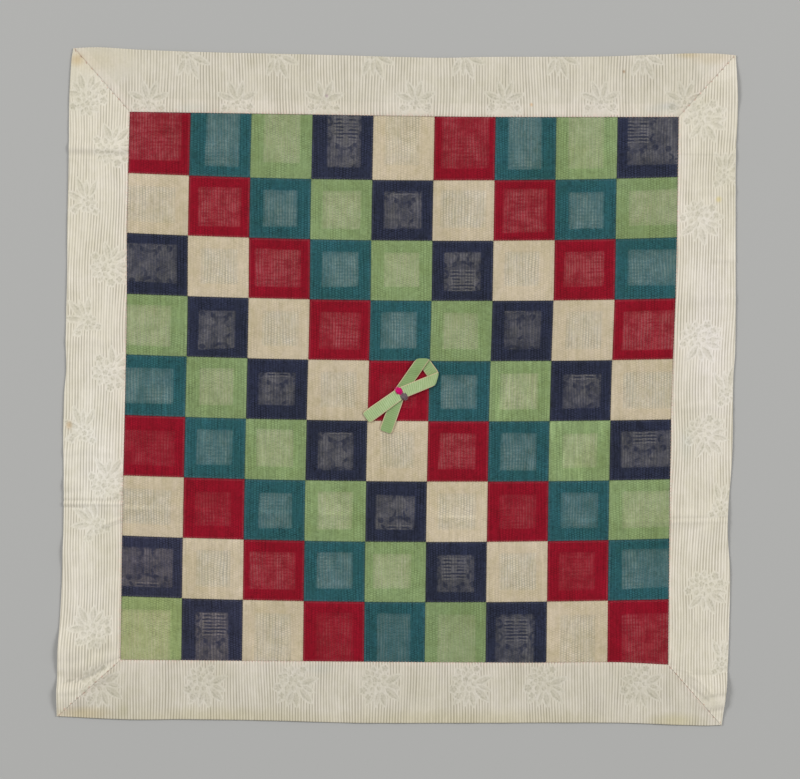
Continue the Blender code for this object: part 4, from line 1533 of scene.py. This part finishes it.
RIBBON_RIB_PITCH = 1.9
Row = namedtuple("Row", "centre across height travelled")


def heading_vector(degrees):
    return Vector((math.cos(math.radians(degrees)), math.sin(math.radians(degrees))))


def joint_line(before, after):
    """The line that two legs share: the fold itself, or the mitre of a slight bend."""
    is_fold = abs(after.heading - before.heading) > 45.0
    line = heading_vector((before.heading + after.heading) / 2.0 + (0.0 if is_fold else 90.0))
    return line, is_fold


def leg_rows(leg, start, first_line, last_line, travelled):
    heading = heading_vector(leg.heading)
    count = round(leg.length * ROWS_PER_MM)
    rows = []
    for step in range(count + 1):
        share = step / count
        width = leg.width_start + (leg.width_end - leg.width_start) * share
        ramp = float(smooth_step((share - leg.ramp[0]) / (leg.ramp[1] - leg.ramp[0])))
        height = PANEL_THICK + leg.height_start + (leg.height_end - leg.height_start) * ramp
        across = first_line.lerp(last_line, share) * width
        gone = leg.length * share
        rows.append(Row(start + heading * leg.length * share, across, height, travelled + gone))
    return rows


def fold_rows(last, heading, rise):
    """Rows wrapped half round a thin cylinder that lies along the fold."""
    outward = Vector((-last.across.y, last.across.x)).normalized()
    if outward.dot(heading) < 0:
        outward.negate()
    radius = abs(rise) / 2.0
    rows = []
    for step in range(1, ROWS_PER_FOLD):
        angle = math.pi * step / ROWS_PER_FOLD
        centre = last.centre + outward * radius * math.sin(angle)
        height = last.height + math.copysign(radius * (1.0 - math.cos(angle)), rise)
        rows.append(Row(centre, last.across, height, last.travelled))
    return rows


def ribbon_rows():
    """All rows of the ribbon from one free end to the other."""
    rows = []
    start, side = Vector(RIBBON_START), 1.0
    line = heading_vector(RIBBON_LEGS[0].heading + 90.0)
    travelled = 0.0
    for index, leg in enumerate(RIBBON_LEGS):
        normal = heading_vector(leg.heading + 90.0) * side
        following = RIBBON_LEGS[index + 1] if index + 1 < len(RIBBON_LEGS) else None
        joint, is_fold = joint_line(leg, following) if following else (normal, False)
        last_line = joint / joint.dot(normal)
        part = leg_rows(leg, start, line, last_line, travelled)
        rows += part[1:] if rows and not was_fold else part
        if is_fold:
            rows += fold_rows(part[-1], heading_vector(leg.heading), following.height_start - leg.height_end)
            side = -side
        was_fold = is_fold
        start, line, travelled = part[-1].centre, last_line, part[-1].travelled
    return rows


route = ribbon_rows()
print("ribbon length in mm:", round(route[-1].travelled), "in", len(route), "rows")

# %% [markdown]
# ## Shaping the ribbon
# Three things keep the ribbon from looking like cut paper: its cross ribs rise and fall and stop
# short of the two woven edges, the whole ribbon waves a little, and its corners are soft. At a
# fold, each corner is drawn back to an arc that touches both the fold and the ribbon's edge. At
# the free ends, the points near a corner move in towards the middle, the nearest ones most.

# %% Build the ribbon
FOLD_ROUNDING = 7.0
END_ROUNDING = 2.6
END_PULL = 0.9
RIBBON_RISE = 0.18
RIBBON_WAVE = 0.10
SILK_THICK = 0.8
# From its first fold on the ribbon shows its duller reverse face, darkened further as painted shade, but
# less so between the two folds.
REVERSE_AND_SHADE_FROM = RIBBON_LEGS[0].length + RIBBON_LEGS[1].length
BETWEEN_FOLDS = 84.0


def round_corner(points, corner, toward, reach, pull):
    """Draw the points near a corner in towards another point, most at the corner itself."""
    inward = np.array(toward) - np.array(corner)
    inward = inward / np.linalg.norm(inward)
    away = np.linalg.norm(points[..., :2] - np.array(corner), axis=-1)
    points[..., :2] += inward * (pull * hump(away / reach))[..., None]


def round_fold(points, fold, bulge):
    """Draw both corners of a fold back to an arc that touches the fold and the ribbon's edge."""
    row, before = route[fold], route[fold - 1]
    heading = (row.centre - before.centre).normalized()
    outward = Vector((-row.across.y, row.across.x)).normalized()
    if outward.dot(heading) < 0:
        outward.negate()
    steep = heading.dot(outward)
    for way in (-1.0, 1.0):
        along = row.across.normalized() * way
        edge = along * abs(heading.dot(along)) - outward * steep
        corner = row.centre + row.across * way / 2 - edge * bulge / steep
        half_angle = edge.angle(-along) / 2
        inward = (edge - along).normalized()
        middle = np.array(corner + inward * FOLD_ROUNDING / math.sin(half_angle))
        touch = FOLD_ROUNDING / math.tan(half_angle)
        from_corner = points[..., :2] - np.array(corner)
        near = np.linalg.norm(from_corner, axis=-1) < touch * 1.05
        near &= from_corner @ np.array(inward) < touch * math.cos(half_angle)
        away = points[near, :2] - middle
        distance = np.linalg.norm(away, axis=-1, keepdims=True)
        points[near, :2] = middle + away * np.minimum(1.0, FOLD_ROUNDING / distance)


def make_ribbon():
    """The ribbon as one sheet along the route, given thickness by a modifier."""
    centres = np.array([row.centre for row in route])
    across = np.array([row.across for row in route])
    heights = np.array([row.height for row in route])
    travelled = np.array([row.travelled for row in route])
    place = np.linspace(-0.5, 0.5, RIBBON_COLUMNS)
    plan = centres[:, None] + across[:, None] * place[None, :, None]
    ribs = travelled[:, None] / RIBBON_RIB_PITCH + 0.0 * place
    edge = np.abs(place) * 2
    level = heights[:, None] + RIBBON_RISE / 2 * np.cos(2 * math.pi * ribs) * (edge < 0.93)
    level = level + RIBBON_WAVE * np.sin(travelled[:, None] / 7.0 + place * 3.0)
    points = np.concatenate([plan, level[..., None]], axis=-1)
    folds = [index for index in range(1, len(route)) if travelled[index] == travelled[index - 1]]
    for fold in (folds[0] - 1, folds[ROWS_PER_FOLD] - 1):
        round_fold(points, fold, (LAYER_HIGH - LAYER_LOW) / 2)
    for index, neighbour in ((0, 12), (-1, -13)):
        for column in (0, -1):
            corner = points[index, column, :2].copy()
            middle = points[neighbour, RIBBON_COLUMNS // 2, :2]
            round_corner(points, corner, middle, END_ROUNDING, END_PULL)
    piece = make_mesh("green_ribbon_loop", points, grid_faces(*level.shape))
    store(piece, "rib_number", ribs)
    store(piece, "edge_share", np.broadcast_to(edge, level.shape))
    # Where the ribbon shows its reverse face, with painted shade on it.
    reverse_and_shade = smooth_step((travelled - REVERSE_AND_SHADE_FROM) / 3.0)
    reverse_and_shade = reverse_and_shade - 0.45 * hump((travelled - BETWEEN_FOLDS) / 11.0)
    store(piece, "underside", reverse_and_shade[:, None] + 0.0 * place)
    body = piece.modifiers.new("Thickness", "SOLIDIFY")
    body.thickness = SILK_THICK * MM
    body.offset = 0.0
    return piece


ribbon = make_ribbon()

# %% [markdown]
# ## Finish: green grosgrain
# Grosgrain has fine ribs from edge to edge. The rib group gives them again, counted along the
# ribbon. The woven edges are paler and a little pink, where the dye took less, and slow noise
# gives the faded patches of an old ribbon.

# %% Ribbon material
RIBBON_CREST = (0.418, 0.520, 0.272, 1.0)
RIBBON_GROOVE = (0.270, 0.405, 0.175, 1.0)
RIBBON_REVERSE_AND_SHADE = (0.215, 0.330, 0.130, 1.0)
RIBBON_EDGE = (0.660, 0.500, 0.330, 1.0)


def make_ribbon_material():
    material, tree, shader, place = start_material("green_grosgrain", 0.6, 0.1)
    number = read(tree, "rib_number")
    crest = use_group(tree, RIB_GROUP, {"Position": number, "Pitch": 1.0, "Fullness": 0.8})["Crest"]
    weave = use_group(tree, WEAVE_GROUP, {"Place": place, "Thread": 0.4})
    faded = noise(tree, stretch(tree, place, (0.35, 0.35, 0.35)), 3.0, 0.7)
    patch = between(tree, faded, 0.3, 0.7, 0.55, 1.25)
    groove = times(tree, maths(tree, "SUBTRACT", 1.0, crest), patch)
    colour = blend(tree, groove, RIBBON_CREST, RIBBON_GROOVE)
    # The reverse face of the ribbon, darkened further as painted shade.
    reverse_and_shade_amount = times_plus(tree, crest, -0.12, 0.86)
    colour = blend(tree, times(tree, read(tree, "underside"), reverse_and_shade_amount), colour, RIBBON_REVERSE_AND_SHADE)
    edge = between(tree, read(tree, "edge_share"), 0.84, 0.92)
    colour = blend(tree, times(tree, edge, 0.8), colour, RIBBON_EDGE)
    aged = use_group(tree, AGE_GROUP, {"Colour": colour, "Place": place, "Amount": 0.16})["Colour"]
    set_input(tree, shader.inputs["Base Color"], aged)
    set_input(tree, shader.inputs["Roughness"], times_plus(tree, crest, -0.15, 0.7))
    height = times_plus(tree, weave["Height"], 0.4, times(tree, crest, 0.3))
    add_bump(tree, shader, height, 0.1)
    return material


ribbon.data.materials.append(make_ribbon_material())
print("ribbon material:", ribbon.data.materials[0].name)

# %% [markdown]
# ## Threads as short tubes
# Tacks and stitches are all short lengths of thread that come up out of the cloth, arch over and
# go down again. One helper makes any number of them as a single mesh: it bends each thread over
# an arch, puts a ring of points round it at each step, and stores the thread's colour on it.

# %% Many threads in one mesh
def make_threads(name, starts, ends, rise, radius, colours, steps=4, sides=5):
    """Arched threads from starts to ends, both lists of x, y, z rows."""
    starts, ends = np.array(starts), np.array(ends)
    count = len(starts)
    share = np.linspace(0.0, 1.0, steps + 1)
    run = ends - starts
    spine = starts[:, None] + run[:, None] * share[None, :, None]
    spine[..., 2] += rise * np.sin(math.pi * share)
    flat = np.stack([-run[:, 1], run[:, 0], np.zeros(count)], axis=-1)
    flat /= np.linalg.norm(flat, axis=-1, keepdims=True)
    up = np.array((0.0, 0.0, 1.0))
    angles = np.arange(sides) * 2 * math.pi / sides
    thin = radius * (0.55 + 0.45 * np.sin(math.pi * share))
    ring = np.cos(angles)[None, :, None] * flat[:, None] + np.sin(angles)[None, :, None] * up
    points = spine[:, :, None] + ring[:, None] * thin[None, :, None, None]
    around = np.arange(sides)
    corner = np.arange(steps)[:, None] * sides + around
    beside = np.arange(steps)[:, None] * sides + (around + 1) % sides
    faces = np.stack([corner, beside, beside + sides, corner + sides], axis=-1).reshape(-1, 4)
    per_thread = (steps + 1) * sides
    faces = (faces[None] + np.arange(count)[:, None, None] * per_thread).reshape(-1, 4)
    piece = make_mesh(name, points, faces)
    store_colour(piece, "thread_colour", np.repeat(np.asarray(colours), per_thread, axis=0))
    return piece


def make_thread_material():
    material, tree, shader, place = start_material("sewing_thread", 0.55, 0.1)
    colour = add_node(tree, "ShaderNodeAttribute", attribute_name="thread_colour").outputs["Color"]
    twist = noise(tree, stretch(tree, place, (2.2, 2.2, 2.2)), 2.0)
    twisted = darken(tree, colour, times_plus(tree, twist, 0.6, 0.7))
    set_input(tree, shader.inputs["Base Color"], twisted)
    set_input(tree, shader.inputs["Roughness"], times_plus(tree, twist, 0.3, 0.4))
    add_bump(tree, shader, twist, 0.08)
    return material


thread_material = make_thread_material()

# %% [markdown]
# ## The two tacks
# The ribbon is held where it crosses itself by two thread tacks, side by side: one hot pink, one
# grey. Each is thread wound over the ribbon many times, so it is a row of arched strands packed
# against each other, longest in the middle, in two layers with the upper one smaller.

# %% Build the tacks
Tack = namedtuple("Tack", "x y half_length half_width colour")
TACKS = {
    "tack_pink": Tack(1.6, -4.0, 4.7, 2.6, (0.60, 0.002, 0.15)),
    "tack_grey": Tack(6.3, -9.0, 4.4, 2.6, (0.16, 0.115, 0.13)),
}
TACK_HEADING = -46.0
TACK_BASE = PANEL_THICK + LAYER_HIGH + RIBBON_THICK / 2 + 0.05
TACK_STRANDS = 9
STRAND_RADIUS = 0.42


def make_tack(name):
    """Two layers of strands wound over the ribbon, the upper one smaller."""
    tack = TACKS[name]
    along, across = heading_vector(TACK_HEADING), heading_vector(TACK_HEADING + 90.0)
    offsets = np.linspace(-1.0, 1.0, TACK_STRANDS)
    starts, ends, colours = [], [], []
    for layer, lift in ((1.0, 0.0), (0.72, 0.45)):
        for index, offset in enumerate(offsets):
            reach = tack.half_length * layer * math.sqrt(max(1.0 - (0.92 * offset) ** 2, 0.05))
            middle = Vector((tack.x, tack.y)) + across * offset * tack.half_width * layer
            skew = across * 0.25 * (1 if index % 2 else -1)
            start, end = middle - along * reach - skew, middle + along * reach + skew
            height = TACK_BASE - 0.35 + lift
            starts.append((*start, height))
            ends.append((*end, height))
            colours.append(np.array(tack.colour) * (0.85 + 0.3 * ((index * 7) % 5) / 4))
    return make_threads(name + "_thread", starts, ends, 1.0, STRAND_RADIUS, colours, steps=10, sides=8)


tacks = {name: make_tack(name) for name in TACKS}

# %% [markdown]
# ## Stitches
# Three kinds of hand stitch hold the cloth together. Slanting reddish stitches close the four
# mitres. Tiny overcast stitches run round the patchwork, where the border is sewn to it, and finer
# ones, in the dye of the squares, join the squares. All are placed by loops, with a seeded jitter
# so no two are alike.

# %% Stitches of the mitres
MITRE_STITCH = 3.0
MITRE_COLOUR = (0.56, 0.34, 0.27)


def surface_of_border(x, y):
    """Height of the border's face, without its ribs."""
    return cloth_height(x, y) + FACE_LEVEL


def make_mitre_stitches():
    """Stitches that slant to and fro along the four mitres."""
    draw = np.random.default_rng(4)
    starts, ends, colours = [], [], []
    for name in CORNER_NAMES:
        outer, inner = np.array(CLOTH_CORNERS[name]), np.array(PANEL_CORNERS[name])
        length = math.dist(outer, inner)
        along = (inner - outer) / length
        aside = np.array((-along[1], along[0]))
        for travelled in np.arange(3.0, length - 1.5, MITRE_STEP):
            swing = 14.0 * (1 if round(travelled / MITRE_STEP) % 2 else -1) + draw.normal(0.0, 8.0)
            turn = math.radians(swing)
            direction = along * math.cos(turn) + aside * math.sin(turn)
            middle = outer + along * travelled + aside * draw.normal(0.0, 0.25)
            half = direction * MITRE_STITCH * draw.uniform(0.35, 0.55)
            height = float(surface_of_border(*middle)) - 0.05
            starts.append((*(middle - half), height))
            ends.append((*(middle + half), height))
            colours.append(np.array(MITRE_COLOUR) * draw.uniform(0.8, 1.5))
    return make_threads("mitre_stitches", starts, ends, 0.3, 0.22, colours)


mitre_stitches = make_mitre_stitches()

# %% Stitches round the patchwork
EDGE_STEP = 2.9
EDGE_STITCH = 1.7
EDGE_COLOUR = (0.66, 0.44, 0.38)


def make_edge_stitches():
    """Overcast stitches where the border meets the patchwork."""
    draw = np.random.default_rng(5)
    starts, ends, colours = [], [], []
    for name, side in SIDES.items():
        count = round(PANEL_SIDE / EDGE_STEP)
        share = (np.arange(count) + 0.5) / count
        line = edge_points(PANEL_CORNERS, PANEL_EDGES, name, share)
        outward = np.array(side.outward, dtype=float)
        sideways = np.array((outward[1], -outward[0]))
        for point in line:
            lean = sideways * draw.normal(0.45, 0.15) * EDGE_STITCH
            start = point - outward * EDGE_STITCH * 0.35
            end = point + outward * EDGE_STITCH * 0.6 + lean
            starts.append((*start, float(cloth_height(*start)) + PANEL_LEVEL + 0.1))
            ends.append((*end, float(surface_of_border(*end)) - 0.3))
            colours.append(np.array(EDGE_COLOUR) * draw.uniform(0.8, 1.25))
    return make_threads("edge_stitches", starts, ends, 0.3, 0.2, colours, steps=3, sides=4)


edge_stitches = make_edge_stitches()

# %% Stitches along the seams
SEAM_STEP = 2.3
SEAM_STITCH = 1.3


def make_seam_stitches():
    """Overcast stitches along the inner seams, in the colour of one of the two squares."""
    draw = np.random.default_rng(6)
    count = round(PANEL_SIDE / SEAM_STEP)
    travel = (np.arange(count) + 0.5) / count
    starts, ends, colours = [], [], []
    for seam in range(1, SQUARES):
        line = np.full(count, seam / SQUARES)
        for across, down, is_column in ((line, travel, True), (travel, line, False)):
            x, y, z = panel_height(across, down)
            column, row = square_of(across), square_of(down)
            for index in range(count):
                lean = draw.normal(0.35, 0.12)
                direction = np.array((1.0, lean)) if is_column else np.array((lean, 1.0))
                half = direction * SEAM_STITCH * 0.5 * draw.uniform(0.8, 1.15)
                middle = np.array((x[index], y[index]))
                height = z[index] + 0.12
                starts.append((*(middle - half), height))
                ends.append((*(middle + half), height))
                cloth = CLOTHS[(column[index] - row[index]) % len(CLOTHS)]
                colours.append(np.array(GAUZES[cloth].turning) * draw.uniform(0.9, 1.2) + 0.015)
    return make_threads("seam_stitches", starts, ends, 0.22, 0.16, colours, steps=2, sides=4)


seam_stitches = make_seam_stitches()
for piece in (*tacks.values(), mitre_stitches, edge_stitches, seam_stitches):
    piece.data.materials.append(thread_material)

# %% [markdown]
# ## Setting every piece over the frame
# The imported model was centred after it was built, so all the pieces move by the same small
# amount. Then each one is hung on the root body, and the solid that it stands in for, if any,
# is hidden.

# %% Place the pieces and hide the solids they stand for
def plan_middle(points):
    low, high = points.min(axis=0), points.max(axis=0)
    return (low[:2] + high[:2]) / 2


node_low, node_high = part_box("patchwork_panel")
inside = np.linspace(0.0, 1.0, 200)
rim = np.concatenate([edge_points(PANEL_CORNERS, PANEL_EDGES, name, inside) for name in SIDES]) * MM
shift = (np.array(node_low)[:2] + np.array(node_high)[:2]) / 2 - plan_middle(rim)
print("all pieces move by", [round(float(value) / MM, 2) for value in shift], "mm")

pieces = {
    panel: ("patchwork_panel", "patchwork_gauze"),
    ribbon: ("ribbon_loop", "green_ribbon"),
    tacks["tack_pink"]: ("tack_pink", "pink_thread"),
    tacks["tack_grey"]: ("tack_grey", "grey_thread"),
    mitre_stitches: (None, "pink_thread"),
    edge_stitches: (None, "pink_thread"),
    seam_stitches: (None, "grey_thread"),
}
pieces.update({piece: ("border_" + name, "cream_damask") for name, piece in borders.items()})
for piece, (node, slot) in pieces.items():
    piece.data.transform(Matrix.Translation((*shift, 0.0)))
    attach(piece, "root")
    if node:
        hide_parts(node)

# %% [markdown]
# ## The table, the lights and the camera
# The cloth lies on a pale grey table. Two large soft lamps stand above it, to the upper left and
# the upper right, as in a studio for flat work: they graze the ribs and creases and leave short
# soft shadows at the edges. A plain even sky fills the rest. The camera looks straight down.

# %% Table
TABLE_HALF = 3.0
TABLE_DROP = 0.0004
TABLE_COLOUR = (0.430, 0.430, 0.419, 1.0)


def make_table():
    """A square table top, a hair below the cloth."""
    mesh = bpy.data.meshes.new("table")
    corners = [(x * TABLE_HALF, y * TABLE_HALF, 0) for x, y in ((-1, -1), (1, -1), (1, 1), (-1, 1))]
    mesh.from_pydata(corners, [], [(0, 1, 2, 3)])
    table = bpy.data.objects.new("table", mesh)
    table.location.z = -TABLE_DROP
    bpy.context.scene.collection.objects.link(table)
    material = bpy.data.materials.new("pale_table")
    material.use_nodes = True
    shader = material.node_tree.nodes["Principled BSDF"]
    shader.inputs["Base Color"].default_value = TABLE_COLOUR
    shader.inputs["Roughness"].default_value = 0.9
    shader.inputs["Specular IOR Level"].default_value = 0.1
    mesh.materials.append(material)
    return table


make_table()
print("table top:", 2 * TABLE_HALF, "metres wide")

# %% Lamps and sky
LAMP_DISTANCE = 6.0
LAMP_SIZE = 2.0
LAMP_POWER = 158.0
SKY_STRENGTH = 0.4
LAMP_PLACES = ((-1.0, 0.42, 1.05), (1.0, 0.42, 1.05))


def make_lamp(index, direction):
    """A soft square lamp that faces the cloth from far off."""
    lamp = bpy.data.lights.new(f"soft_lamp_{index}", "AREA")
    lamp.energy = LAMP_POWER
    lamp.size = LAMP_SIZE
    holder = bpy.data.objects.new(lamp.name, lamp)
    holder.location = Vector(direction).normalized() * LAMP_DISTANCE
    holder.rotation_euler = Vector(direction).to_track_quat("Z", "Y").to_euler()
    bpy.context.scene.collection.objects.link(holder)


for index, direction in enumerate(LAMP_PLACES):
    make_lamp(index, direction)

world = bpy.data.worlds.new("even_sky")
world.use_nodes = True
sky = world.node_tree.nodes["Background"]
sky.inputs["Color"].default_value = (1.0, 1.0, 1.0, 1.0)
sky.inputs["Strength"].default_value = SKY_STRENGTH
bpy.context.scene.world = world
bpy.context.scene.view_settings.view_transform = "Standard"
print("lamps:", len(LAMP_PLACES), "sky strength:", SKY_STRENGTH)

# %% Camera
CAMERA_PLACE = (0.0025, -0.0027, 2.02)
CAMERA_LENS = 100.0
CAMERA_SENSOR = 36.0
CAMERA_SEES_TO = 20.0

camera_data = bpy.data.cameras.new("camera")
camera_data.lens = CAMERA_LENS
camera_data.sensor_width = CAMERA_SENSOR
camera_data.clip_end = CAMERA_SEES_TO
camera = bpy.data.objects.new("camera", camera_data)
camera.location = CAMERA_PLACE
bpy.context.scene.collection.objects.link(camera)
bpy.context.scene.camera = camera
print("camera", CAMERA_PLACE[2], "metres above the table")
